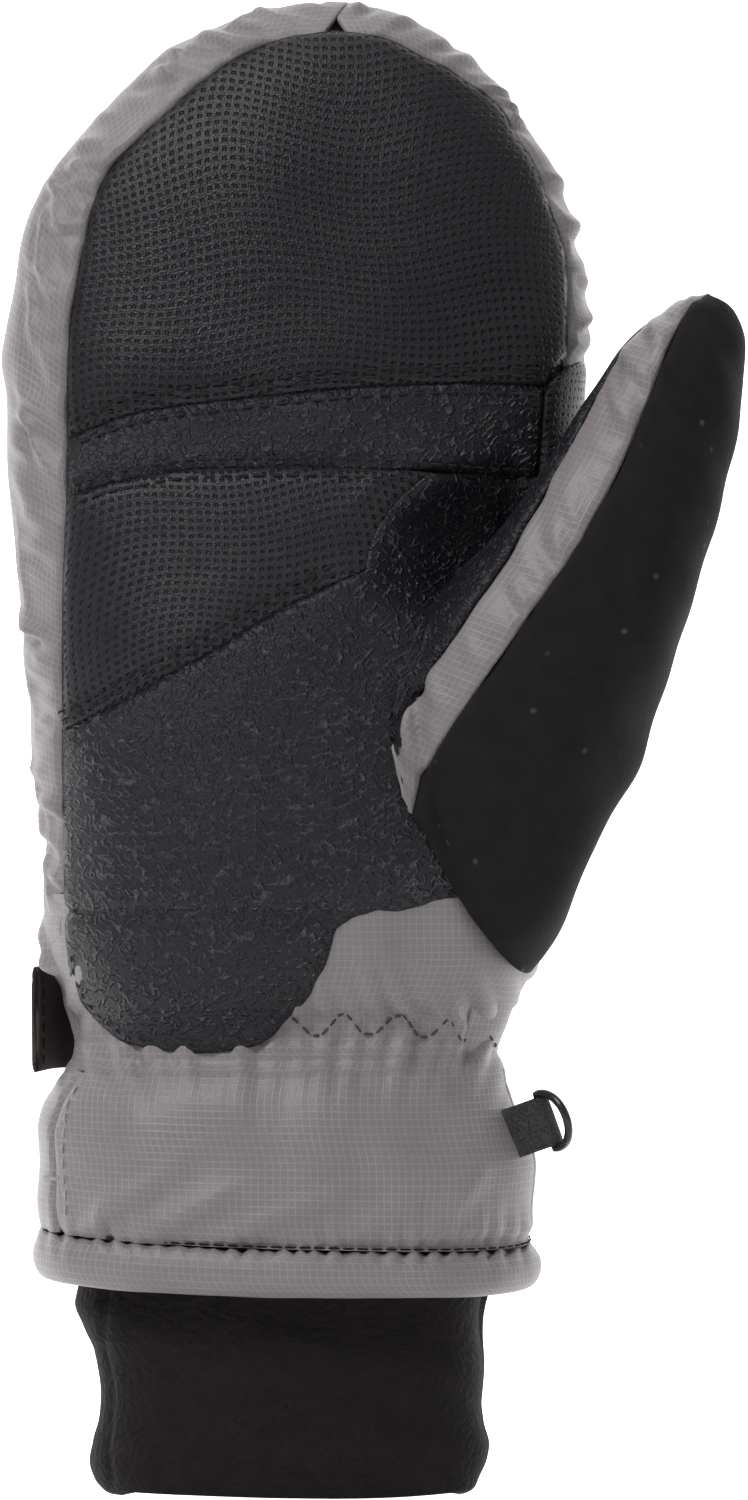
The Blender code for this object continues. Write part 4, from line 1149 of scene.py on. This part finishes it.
def gauntlet_relief(grid):
    """Soft folds: upright near the elastic, slanting up from the outer hem, puckered at the hem."""
    x, z = grid[..., 0], grid[..., 2]
    hem = np.maximum(z - HEM_TOP_MIDDLE, 0)
    slanted = np.zeros_like(x)
    for start, size, length, slope in ((-46, 1.2, 40, 0.62), (-32, 0.9, 34, 0.45), (-14, 0.9, 38, 0.35),
                                       (12, 0.7, 30, 0.5), (-44, 0.7, 22, 1.0), (30, 0.8, 24, 0.9)):
        across = (z - 60) * math.cos(slope) - (x - start) * math.sin(slope)
        along = (x - start) * math.cos(slope) + (z - 60) * math.sin(slope)
        fold = np.exp(-(across / 2.6) ** 2) - 0.6 * np.exp(-((across + 4.6) / 3.0) ** 2)
        slanted += size * fold * smooth_step(along, -3, 8) * (1 - smooth_step(along, length * 0.4, length))
    edge = 1.4 * hem_puffs(x) * np.exp(-hem / 3.2) * smooth_step(hem, -0.5, 1.5)
    return gathers(x, z) + swell(x, z) + slanted + edge - 1.5 * np.exp(-(hem / 1.6) ** 2)


front_grid = wrist_ring_grid(hem_top, 94.8, 56, SIDE_RIGHT, SIDE_LEFT, 170)
left, right, low, high = edge_distance(front_grid)
gauntlet_front = cloth_piece("gauntlet_front_cloth", front_grid, grey_cloth, (0, 30, 75),
                             gauntlet_relief(front_grid) + seam_dip((left, right), 1.0, 2.0), lip=0)
put_on(gauntlet_front, "gauntlet", ["gauntlet_front_panel"])
around_grid = wrist_ring_grid(hem_top, 94.8, 56, SIDE_LEFT, 2 * np.pi + SIDE_RIGHT, 190)
left, right, low, high = edge_distance(around_grid)
gauntlet_back = cloth_piece("gauntlet_back_cloth", around_grid, grey_cloth, (0, -30, 75),
                            gauntlet_relief(around_grid) + seam_dip((left, right), 1.0, 2.0)
                            - 2.2 * smooth_step(around_grid[..., 2], 84, 92) * (around_grid[..., 1] > 8), lip=0)
put_on(gauntlet_back, "gauntlet", ["gauntlet_back_panel"])

# %% The rolled hem
HEM_COLS = 300
hem_angles = np.linspace(0, 2 * np.pi, HEM_COLS, endpoint=False)
hem_turns = np.linspace(-0.6 * np.pi, 1.25 * np.pi, 34)
hem_grid = np.zeros((len(hem_turns), HEM_COLS, 3))
power = 2 / SQUARENESS
top, low_edge = hem_top(hem_angles), hem_low(hem_angles)
roll_wave = 1 + 0.06 * np.sin(7 * hem_angles + 1) + 0.05 * np.sin(13 * hem_angles)
for row, turn in enumerate(hem_turns):
    out = 3.1 * roll_wave * np.cos(turn)
    z = (top + low_edge) / 2 - (top - low_edge) / 2 * np.sin(turn) * 1.03
    half_x, half_y = 52.6 + out, 34.2 + out
    c, s = np.cos(hem_angles), np.sin(hem_angles)
    hem_grid[row, :, 0] = -1.0 + half_x * np.sign(c) * np.abs(c) ** power
    hem_grid[row, :, 1] = -half_y * np.sign(s) * np.abs(s) ** power
    hem_grid[row, :, 2] = z
hem_heights = np.zeros(hem_grid.shape[:2])
for row, turn in enumerate(hem_turns):
    near_seam = math.exp(-((turn + 1.3) / 0.8) ** 2)
    hem_heights[row] = (1.2 * near_seam * hem_puffs(hem_grid[row, :, 0]) - 0.5 * near_seam
                        + 0.35 * swell(hem_grid[row, :, 0], hem_grid[row, :, 2]))
hem = cloth_piece("rolled_hem", hem_grid, grey_cloth, (0, 0, 51), hem_heights, closed=True, lip=0.0)
put_on(hem, "gauntlet", ["gauntlet_hem"])

# %% The knit cuff
CUFF_EDGES = np.array([(-0.2, -41.0, 41.0), (2, -42.8, 41.8), (6, -44.0, 43.4), (10.6, -43.0, 44.4),
                       (15.6, -42.3, 43.2), (20.5, -42.7, 42.0), (26.8, -43.1, 41.6),
                       (32, -43.0, 41.7), (38, -44.7, 42.2), (43.3, -47.0, 42.8), (56, -47.0, 44.0)])


def cuff_grid(inset, z_low, rows, cols=220):
    angles = np.linspace(0, 2 * np.pi, cols, endpoint=False)
    c, s = np.cos(angles), np.sin(angles)
    grid = np.zeros((rows, cols, 3))
    sag = np.where(s > 0, 2.6 + 0.9 * s, 2.6 * np.clip(1 + 2.5 * s, 0, 1)) + 0.3 * np.sin(3 * angles + 1)
    for row, share in enumerate(np.linspace(0, 1, rows)):
        z = z_low + (56 - z_low) * share
        edges = hermite(CUFF_EDGES[:, 0], CUFF_EDGES[:, 1:], np.array([z]))[0]
        middle, half = edges.mean(), (edges[1] - edges[0]) / 2 - inset
        deep = 25.5 - inset - 2.0 * math.exp(-((z - 22) / 14) ** 2)
        grid[row, :, 0] = middle + half * np.sign(c) * np.abs(c) ** 0.88
        grid[row, :, 1] = -deep * np.sign(s) * np.abs(s) ** 0.88
        grid[row, :, 2] = z + sag * (1 - share) ** 2
    return grid


outside = cuff_grid(0.0, 0.0, 80)
inside_wall = cuff_grid(2.4, 0.6, 24)
x, z = outside[..., 0], outside[..., 2]
a = np.arange(outside.shape[1]) / outside.shape[1] * 220
heights = (noise_field(np.broadcast_to(a, x.shape), z, 40, 0.7)
           + 0.8 * np.sin(2 * np.pi * z / 26 + 0.03 * x) * smooth_step(z, 4, 16)
           - 0.6 * np.exp(-((x + 39.5) / 1.0) ** 2) * (outside[..., 1] < 0))
shaped = outside + outward(outside, (0, 0, 28))[0] * heights[..., None]
round_edge = np.stack([
    shaped[0] * (1 - t) + inside_wall[0] * t - np.array([0, 0, 1.0]) * math.sin(math.pi * t)
    for t in np.linspace(0, 1, 7)[1:-1]])
cuff_all = np.concatenate([inside_wall[::-1], round_edge[::-1], shaped])
normal, flipped = outward(shaped, (0, 0, 28))
knit_cuff = panel("brushed_cuff", cuff_all, brushed_knit, lip=0.0, closed=True, flip=flipped)
put_on(knit_cuff, "cuff", ["knit_cuff"])
print("gauntlet, hem and cuff made")

# %% [markdown]
# ## Linings and padding
# Inside the shell lie loose layers: wadding, a waterproof film and a soft lining. They hardly show,
# but they fill the mitten and close its mouth, so each is a simple smooth bag inside the last one.

# %% Inner layers
def bag(name, z_low, z_high, depth, material, rows=60, cols=72, tip=True):
    """A smooth bag that follows the pillow at a depth below its surface."""
    if tip:
        top = TIP_Z - depth
        zs = top - np.linspace(math.sqrt(top - z_low), 0.35, rows) ** 2
    else:
        zs = np.linspace(z_low, z_high, rows)
    angles = np.linspace(0, 2 * np.pi, cols, endpoint=False)
    c, s = np.cos(angles), np.sin(angles)
    grid = np.zeros((len(zs), cols, 3))
    power = 2 / SQUARENESS
    for row, z in enumerate(zs):
        outer_z = z + depth * smooth_step(np.array([z]), 260, TIP_Z - depth)[0] if tip else z
        left, right, front, back = hand_edges(np.array([min(outer_z, TIP_Z - 0.05)]))[:, 0]
        half = max((right - left) / 2 - depth, 0.8)
        grid[row, :, 0] = (left + right) / 2 + half * np.sign(c) * np.abs(c) ** power
        deep = np.sign(s) * np.abs(s) ** power
        hollow = palm_hollow(grid[row, :, 0], np.full(cols, z)) * np.clip(s * 2, 0, 1)
        y = -np.where(s > 0, max(front - depth - 0.6, 0.6), max(back - depth, 0.6)) * deep
        grid[row, :, 1] = np.minimum(y + hollow, np.where(s > 0, 10.0, 60.0))
        grid[row, :, 2] = z
    normal, flipped = outward(grid, (0, 0, (z_low + z_high) / 2))
    return panel(name, grid, material, lip=0.7, closed=True, flip=flipped)


for name, depth, material, nodes, slot in (
        ("hand_wadding", 2.8, wadding, ["hand_insulation", "finger_insulation"], "insulation"),
        ("hand_film", 6.0, film, ["hand_membrane", "finger_membrane"], "membrane"),
        ("hand_lining_bag", 7.6, lining_fleece, ["hand_lining", "finger_lining"], "lining")):
    put_on(bag(name, 104, 322, depth, material), FINGER_BEND, nodes)
for name, depth, material, nodes, slot in (
        ("gauntlet_wadding", 2.8, wadding, ["gauntlet_insulation"], "insulation"),
        ("gauntlet_film", 4.6, film, ["gauntlet_membrane"], "membrane"),
        ("gauntlet_lining_bag", 5.6, lining_fleece, ["gauntlet_lining"], "lining")):
    put_on(bag(name, 58, 92, depth, material, rows=20, tip=False), "gauntlet", nodes)


def thumb_bag(name, depth, material):
    rows = np.concatenate([np.linspace(2.2, 9, 40),
                           LAST_RING - np.linspace(np.sqrt(LAST_RING - 9), 0.5, 12)[1:] ** 2])
    values = thumb_values(rows)
    inner, outer = values[:, 0:2], values[:, 2:4]
    middle, half = (inner + outer) / 2, (outer - inner) / 2
    length = np.linalg.norm(half, axis=1, keepdims=True)
    half = half / length * np.maximum(length - depth, 0.5)
    values[:, 0:2], values[:, 2:4] = middle - half, middle + half
    values[:, 5] = np.maximum(values[:, 5] - depth, 0.4)
    angles = np.linspace(0, 2 * np.pi, 48, endpoint=False)
    grid = thumb_point(np.repeat(values[:, None, :], 48, axis=1), np.broadcast_to(angles, (len(rows), 48)))
    normal, flipped = outward(grid, (60, -18, 190))
    return panel(name, grid, material, lip=0.5, closed=True, flip=flipped)


put_on(thumb_bag("thumb_wadding", 2.4, wadding), THUMB_BEND, ["thumb_insulation"])
put_on(thumb_bag("thumb_lining_bag", 4.6, lining_fleece), THUMB_BEND, ["thumb_lining"])
for name, wall in (("hand_film", 0.3), ("hand_lining_bag", 1.0), ("thumb_lining_bag", 0.8)):
    thicken(bpy.data.objects[name], wall)
print("inner layers made")

# %% [markdown]
# ## Strap, elastic, ring and its tab
# A webbing strap crosses the back of the wrist and its free end stands off the outer side. A D-ring
# hangs in a folded leather tab on the index side. Each flat band is a rounded section carried along
# its path.

# %% Bands
def band(name, path, width_way, width, thickness, material, turns=20, end_wave=0.0):
    """A flat band with rounded edges along a path (mm), closed at both ends."""
    path = np.asarray(path, float)
    way = np.asarray(width_way, float) / np.linalg.norm(width_way)
    tangent = np.gradient(path, axis=0)
    tangent /= np.linalg.norm(tangent, axis=1, keepdims=True)
    out = np.cross(tangent, way)
    out /= np.linalg.norm(out, axis=1, keepdims=True)
    angles = np.linspace(0, 2 * np.pi, turns * 2, endpoint=False)
    c, s = np.cos(angles), np.sin(angles)
    wide = np.sign(c) * np.abs(c) ** 0.25 * width / 2
    thick = np.sign(s) * np.abs(s) ** 0.7 * thickness / 2
    grid = path[:, None] + way * wide[None, :, None] + out[:, None] * thick[None, :, None]
    if end_wave:
        grid[-1] += tangent[-1] * (end_wave * rng.uniform(-1, 1, len(angles)))[:, None]
    caps = [path[k][None] + way * (wide * 0.97)[:, None] + out[k][None] * (thick * 0.05)[:, None]
            for k in (0, -1)]
    grid = np.concatenate([caps[0][None], grid, caps[1][None]])
    normal, flipped = outward(grid, grid.mean(axis=(0, 1)))
    radial = grid[1:-1] - path[:, None]
    sign = np.sum(normals_of(grid, True)[1:-1] * radial) < 0
    run = np.concatenate([[0.0], np.cumsum(np.linalg.norm(np.diff(path, axis=0), axis=1))])
    u = np.repeat(np.concatenate([run[:1], run, run[-1:]])[:, None], len(angles), axis=1)
    v = np.broadcast_to(wide, u.shape).copy()
    piece = panel(name, grid, material, lip=0, closed=True, flip=bool(sign), uv=(u, v), caps=True)
    return piece


def back_path(angles, inset=0.0):
    left, right, back = -53.4, 50.0, 31.8
    middle, half = (left + right) / 2, (right - left) / 2 + inset
    c, s = np.cos(angles), np.sin(angles)
    power = 2 / SQUARENESS
    return np.stack([middle + half * np.sign(c) * np.abs(c) ** power,
                     (back + inset) * np.sign(s) * np.abs(s) ** power], axis=1)


STRAP_MIDDLE_Z, STRAP_WIDTH = 105.2, 23.2
round_back = back_path(np.radians(np.linspace(50, 152, 46)), 0.9)
free_run = smooth_line([tuple(round_back[-1]), (-52.6, 12.0), (-54.6, 4.0), (-55.9, -4.0)])
strap_flat = smooth_line(np.concatenate([round_back[::4], free_run[1::5], free_run[-1:]]), 1.2)
strap_path = np.concatenate([strap_flat, np.full((len(strap_flat), 1), STRAP_MIDDLE_Z)], axis=1)
strap = band("closing_strap", strap_path, (0, 0, 1), STRAP_WIDTH, 1.8, webbing, end_wave=0.35)
put_on(strap, "strap", ["wrist_strap"])

hook_flat = back_path(np.radians(np.linspace(104, 148, 26)), -0.75)
hook_path = np.concatenate([hook_flat, np.full((len(hook_flat), 1), STRAP_MIDDLE_Z)], axis=1)
put_on(band("hook_tape", hook_path, (0, 0, 1), STRAP_WIDTH - 3, 0.8, hook_tape), "strap",
       ["strap_hook_pad"])
field_flat = back_path(np.radians(np.linspace(84, 142, 30)), -2.0)
field_path = np.concatenate([field_flat, np.full((len(field_flat), 1), 107.5)], axis=1)
put_on(band("loop_tape", field_path, (0, 0, 1), 17.0, 1.2, webbing), "hand",
       ["strap_loop_field"])
anchor_flat = back_path(np.radians(np.linspace(38, 49, 12)), 0.6)
anchor_path = np.concatenate([anchor_flat, np.full((len(anchor_flat), 1), STRAP_MIDDLE_Z + 0.4)], axis=1)
put_on(band("strap_sewn_end", anchor_path, (0, 0, 1), STRAP_WIDTH - 2, 1.6, webbing), "hand",
       ["strap_anchor"])
elastic_angles = np.linspace(0, 2 * np.pi, 121)
left, right, front, back = hand_edges(np.array([104.0]))[:, 0]
c, s = np.cos(elastic_angles), np.sin(elastic_angles)
elastic_path = np.stack([(left + right) / 2 + ((right - left) / 2 - 10.4) * np.sign(c) * np.abs(c) ** 0.85,
                         19.5 * np.sign(s) * np.abs(s) ** 0.85, np.full(121, 104.0)], axis=1)
put_on(band("flat_elastic", elastic_path, (0, 0, 1), 9.0, 0.9, webbing), "hand", ["wrist_elastic"])

# %% The D-ring and its leather tab
RING_TOP, RING_BOTTOM = np.array([53.4, -14.0, 90.2]), np.array([58.2, -14.0, 76.8])
ring_along = (RING_BOTTOM - RING_TOP) / np.linalg.norm(RING_BOTTOM - RING_TOP)
ring_out = np.array([0.47, -0.86, 0.18])
ring_out = ring_out - ring_along * (ring_out @ ring_along)
ring_out /= np.linalg.norm(ring_out)
ring_side = np.cross(ring_along, ring_out)
ring_middle = (RING_TOP + RING_BOTTOM) / 2
half_bar = np.linalg.norm(RING_BOTTOM - RING_TOP) / 2 - 0.85


def make_plastic(name, colour, roughness):
    material, tree, shader, nap = start_material(name, brushed_nap, "Object", specular=0.5)
    shader.inputs["Coat Weight"].default_value = 0.3
    shader.inputs["Coat Roughness"].default_value = 0.2
    tree.links.new(mix_colours(tree, nap.outputs["Cloud"], tuple(v * 0.7 for v in colour), colour),
                   shader.inputs["Base Color"])
    tree.links.new(math_node(tree, "MULTIPLY_ADD", nap.outputs["Height"], 0.15, roughness),
                   shader.inputs["Roughness"])
    return material


ring_plastic = make_plastic("dark ring plastic", (0.022, 0.022, 0.025), 0.22)
bend = np.linspace(0, np.pi, 48)
ring_flat = np.concatenate([
    np.stack([half_bar * np.cos(bend), 8.5 * np.sin(bend) ** 0.8], axis=1),
    np.stack([np.linspace(-half_bar, half_bar, 16)[1:-1], np.zeros(14)], axis=1)])
ring_line = (ring_middle + ring_along * ring_flat[:, :1] + ring_out * ring_flat[:, 1:])
around = np.roll(ring_line, -1, axis=0) - np.roll(ring_line, 1, axis=0)
around /= np.linalg.norm(around, axis=1, keepdims=True)
first = np.cross(around, ring_side)
turns = np.linspace(0, 2 * np.pi, 16, endpoint=False)
ring_grid = (ring_line[:, None] + 0.92 * (first[:, None] * np.cos(turns)[None, :, None]
                                          + ring_side * np.sin(turns)[None, :, None]))
ring_grid = np.concatenate([ring_grid, ring_grid[:1]])
ring = panel("dark_d_ring", ring_grid, ring_plastic, lip=0, closed=True,
             flip=bool(np.sum(normals_of(ring_grid, True)[:-1] * (ring_grid[:-1] - ring_line[:, None])) < 0))
put_on(ring, "ring", ["d_ring"])

tab_in = np.array([-1.0, 0.0, 0.0])
tab_in = tab_in - ring_along * (tab_in @ ring_along)
tab_in /= np.linalg.norm(tab_in)
tab_up = np.cross(ring_along, tab_in)
tab_up *= -np.sign(tab_up[1])
curl = np.linspace(-np.pi / 2, np.pi / 2, 18)
tab_flat = np.concatenate([
    np.stack([np.linspace(9.2, 0, 12), np.linspace(-1.0, -1.62, 12)], axis=1),
    np.stack([-1.62 * np.cos(curl), 1.62 * np.sin(curl)], axis=1)[1:-1],
    np.stack([np.linspace(0, 9.2, 12), np.linspace(1.62, 0.5, 12)], axis=1)])
tab_path = ring_middle + tab_in * tab_flat[:, :1] + tab_up * tab_flat[:, 1:]
tab = band("d_ring_tab", tab_path, ring_along, 11.0, 1.1, ring_loop_leather)
put_on(tab, "gauntlet", ["d_ring_loop"])
print("strap, ring and tab made")

# %% [markdown]
# ## Stitching
# Every seam on the palm is top-stitched. A stitch is a short thread that dives into the leather at
# both ends, so it is made as a small spindle that lies along the seam and sinks at its tips.

# %% Stitch maker
def spindle(turns=6, steps=7):
    t = np.linspace(-1, 1, steps)
    radius = np.sqrt(np.maximum(1 - t ** 6, 0.04))
    angles = np.linspace(0, 2 * np.pi, turns, endpoint=False)
    ring = np.stack([np.repeat(t[:, None], turns, 1), radius[:, None] * np.cos(angles),
                     radius[:, None] * np.sin(angles)], axis=-1)
    faces = [[r * turns + k, r * turns + (k + 1) % turns, (r + 1) * turns + (k + 1) % turns,
              (r + 1) * turns + k] for r in range(steps - 1) for k in range(turns)]
    faces += [list(range(turns))[::-1], [(steps - 1) * turns + k for k in range(turns)]]
    return ring.reshape(-1, 3), faces


SPINDLE, SPINDLE_FACES = spindle()


def stitch_places(line, normals, length, gap):
    """Start and end of each stitch along a line, with the way it faces."""
    run = np.concatenate([[0.0], np.cumsum(np.linalg.norm(np.diff(line, axis=0), axis=1))])
    count = int(run[-1] / (length + gap))
    starts = (np.arange(count) + 0.5) * run[-1] / max(count, 1) - length / 2
    place = lambda at, values: np.stack([np.interp(at, run, values[:, k]) for k in range(3)], axis=1)
    return place(starts, line), place(starts + length, line), place(starts + length / 2, normals)


def sew(name, rows, material, radius=0.32):
    """One mesh of stitches from several rows of (starts, ends, normals)."""
    points, faces = [], []
    for starts, ends, normals in rows:
        for start, end, normal in zip(starts, ends, normals):
            along = end - start
            length = np.linalg.norm(along)
            if length < 0.2:
                continue
            along = along / length
            normal = normal - along * (normal @ along)
            normal /= max(np.linalg.norm(normal), 1e-6)
            side = np.cross(along, normal)
            bow = (1 - SPINDLE[:, 0] ** 2) * 0.28 - 0.14
            local = ((start + end) / 2 + SPINDLE[:, :1] * along * length / 2
                     + SPINDLE[:, 1:2] * normal * radius * 0.8 + SPINDLE[:, 2:3] * side * radius
                     + bow[:, None] * normal)
            base = len(points) * len(SPINDLE)
            points.append(local)
            faces += [[base + k for k in face] for face in SPINDLE_FACES]
    mesh = bpy.data.meshes.new(name)
    mesh.from_pydata((np.concatenate(points) * MM).tolist(), [], faces)
    mesh.shade_smooth()
    piece = bpy.data.objects.new(name, mesh)
    bpy.context.scene.collection.objects.link(piece)
    piece.data.materials.append(material)
    return piece


def offset_line(line, amount):
    """A line moved sideways in its plane; positive goes up for a line drawn left to right."""
    way = np.gradient(line, axis=0)
    way /= np.linalg.norm(way, axis=1, keepdims=True)
    return line + np.stack([-way[:, 1], way[:, 0]], axis=1) * amount


def palm_row(line, offset=0.0, lift=0.4, length=2.6, gap=1.0, seen=True):
    """A row of stitches that follows a line on the palm."""
    flat = offset_line(on_palm(line) if seen else line, offset)
    normal = pillow_normal(flat[:, 0], flat[:, 1], -1)
    surface = np.stack([flat[:, 0], pillow(flat[:, 0], flat[:, 1], -1), flat[:, 1]], axis=1)
    return stitch_places(surface + normal * lift, normal, length, gap)

# %% Palm stitches
upper_inner, lower_inner = upper_line[2:-2], lower_line[2:-2]
hand_rows = [palm_row(diagonal_line[1:-1], 1.9, 0.9), palm_row(diagonal_line[1:-1], 3.7, 0.95),
             palm_row(lower_inner, -1.9, 0.85)]
heel_line = smooth_line([(-48.5, 129.0), (-20, 129.4), (7.5, 129.4)])
tongue_inner = offset_line(tongue_line, 1.6)[2:]
hand_rows += [palm_row(heel_line, 0, 0.15, 2.4, 1.0), palm_row(tongue_inner, 0, 0.65, 2.0, 0.9)]
bend_rows = [palm_row(lower_inner, 1.9, 0.8), palm_row(upper_inner, -1.9, 0.8)]
finger_rows = [palm_row(upper_inner, 1.9, 0.85), palm_row(upper_inner, 3.6, 0.95)]
put_on(sew("palm_stitches", hand_rows, dark_thread), "hand")
put_on(sew("bend_stitches", bend_rows, dark_thread), FINGER_BEND)
put_on(sew("finger_stitches", finger_rows, dark_thread), "fingers")

# %% Zigzag over the elastic, hem and side stitches
ZIGZAG = [(-0.2, 105.8), (4.6, 101.4), (6.6, 101.4), (11.9, 106.7), (15.9, 101.7), (18.6, 101.7),
          (24.4, 106.5), (28.6, 101.0), (30.8, 101.0), (35.2, 105.4), (37.6, 99.6), (42.3, 103.8),
          (45.0, 98.8)]


def wrist_surface(flat):
    """A line on the gathered cloth of the palm side."""
    x, z = brought_back(flat[:, 0], flat[:, 1], pillow(flat[:, 0], flat[:, 1], -1))
    x = np.minimum(x, hand_edges(z)[1] - 0.4)
    normal = pillow_normal(x, z, -1)
    return np.stack([x, pillow(x, z, -1), z], axis=1) + normal * (gathers(x, z) + 0.25)[:, None], normal


zigzag_rows = []
for start, end in zip(ZIGZAG[:-1], ZIGZAG[1:]):
    flat = np.linspace(start, end, 14)
    line, normal = wrist_surface(flat)
    length = np.linalg.norm(flat[-1] - flat[0])
    zigzag_rows.append(stitch_places(line, normal, min(2.2, length * 0.8), 0.35))
put_on(sew("elastic_stitches", zigzag_rows, elastic_thread, 0.28), "hand")


def gauntlet_row(flat, lift=0.3, length=2.3, gap=0.9):
    flat = smooth_line(flat, 1.0)
    x, z = flat[:, 0], flat[:, 1]
    y = pillow(x, z, -1)
    x, z = brought_back(x, z, y)
    normal = pillow_normal(x, z, -1)
    points = np.stack([x, pillow(x, z, -1), z], axis=1)
    relief = gauntlet_relief(points[None])[0]
    return stitch_places(points + normal * (relief + lift)[:, None], normal, length, gap)


gauntlet_rows = [gauntlet_row([(-46.4, 90.6), (-49.4, 85.4), (-49.8, 74.4), (-49.6, 61.5)], 0.2),
                 gauntlet_row([(-54.2, 70.8), (-50.4, 69.6)], 0.5)]
put_on(sew("gauntlet_stitches", gauntlet_rows, grey_thread, 0.24), "gauntlet")
hem_ring = wrist_ring_grid(lambda a: hem_top(a) - 0.2, lambda a: hem_top(a), 2, 0.02, 2 * np.pi - 0.02, 400)[1]
hem_normals = hem_ring * np.array([1.0, 1.0, 0.0])
hem_normals /= np.linalg.norm(hem_normals, axis=1, keepdims=True)
hem_rows = [stitch_places(hem_ring - hem_normals * 1.0 + np.array([0, 0, 0.5]), hem_normals, 2.6, 0.5)]
put_on(sew("hem_stitches", hem_rows, black_thread, 0.26), "gauntlet")
strap_z = np.linspace(94.5, 116, 60)
strap_line = np.stack([np.full(60, -55.0), np.full(60, -1.6), strap_z], axis=1)
strap_face = np.tile(np.array([0.9, -0.45, 0.0]), (60, 1))
put_on(sew("strap_stitches", [stitch_places(strap_line + strap_face * 0.75, strap_face, 2.4, 1.0)],
           black_thread, 0.3), "strap")
print("stitches sewn")

# %% [markdown]
# ## Studio
# The mitten stands in front of a white sweep in soft light: one large light high on the left, a
# weaker one on the right and plenty of white around, so the background stays white.

# %% Floor, light and camera
def paper(name, glow):
    material = bpy.data.materials.new(name)
    material.use_nodes = True
    shader = material.node_tree.nodes["Principled BSDF"]
    shader.inputs["Base Color"].default_value = (0.95, 0.95, 0.95, 1)
    shader.inputs["Roughness"].default_value = 0.9
    shader.inputs["Emission Color"].default_value = (1, 1, 1, 1)
    shader.inputs["Emission Strength"].default_value = glow
    tree = material.node_tree
    facing, clear, mix = (tree.nodes.new("ShaderNode" + kind) for kind in ("NewGeometry", "BsdfTransparent",
                                                                          "MixShader"))
    tree.links.new(facing.outputs["Backfacing"], mix.inputs[0])
    tree.links.new(shader.outputs[0], mix.inputs[1])
    tree.links.new(clear.outputs[0], mix.inputs[2])
    tree.links.new(mix.outputs[0], tree.nodes["Material Output"].inputs["Surface"])
    return material


def sheet_of_paper(name, profile, material):
    mesh = bpy.data.meshes.new(name)
    mesh.from_pydata([(x, y, z) for y, z in profile for x in (-1.6, 1.6)], [],
                     [(2 * k, 2 * k + 1, 2 * k + 3, 2 * k + 2) for k in range(len(profile) - 1)])
    mesh.shade_smooth()
    item = bpy.data.objects.new(name, mesh)
    bpy.context.scene.collection.objects.link(item)
    item.data.materials.append(material)


curve = [(0.30 + 0.25 * math.sin(t), 0.246 - 0.25 * math.cos(t)) for t in np.linspace(0, math.pi / 2, 16)[1:]]
sheet_of_paper("white_sweep", [(0.0, -0.004), (0.30, -0.004)] + curve + [(0.55, 1.4)], paper("lit paper", 1.0))
sheet_of_paper("white_floor", [(-0.7, -0.004), (0.0, -0.004)], paper("plain paper", 0.0))


def soft_light(name, place, target, size, power):
    data = bpy.data.lights.new(name, "AREA")
    data.shape = "SQUARE"
    data.size = size
    data.energy = power
    lamp = bpy.data.objects.new(name, data)
    lamp.location = place
    lamp.rotation_euler = (Vector(target) - Vector(place)).to_track_quat("-Z", "Y").to_euler()
    bpy.context.scene.collection.objects.link(lamp)
    return lamp


soft_light("key", (-0.62, -0.85, 1.2), (0, 0, 0.17), 0.55, 12.0)
soft_light("fill", (1.1, -0.9, 0.5), (0, 0, 0.17), 0.9, 1.6)
soft_light("top", (0.0, -0.1, 1.3), (0, 0, 0.2), 0.8, 2.4)
world = bpy.data.worlds.new("studio")
world.use_nodes = True
world.node_tree.nodes["Background"].inputs["Color"].default_value = (1, 1, 1, 1)
world.node_tree.nodes["Background"].inputs["Strength"].default_value = 0.10
bpy.context.scene.world = world
bpy.context.scene.view_settings.view_transform = "Standard"

lens = bpy.data.cameras.new("camera")
lens.sensor_fit = "VERTICAL"
lens.sensor_height = 36.0
lens.lens = 141.8
lens.clip_end = 20.0
camera = bpy.data.objects.new("camera", lens)
camera.location = (EYE * MM).tolist()
camera.rotation_euler = (math.pi / 2, 0, 0)
bpy.context.scene.collection.objects.link(camera)
bpy.context.scene.camera = camera
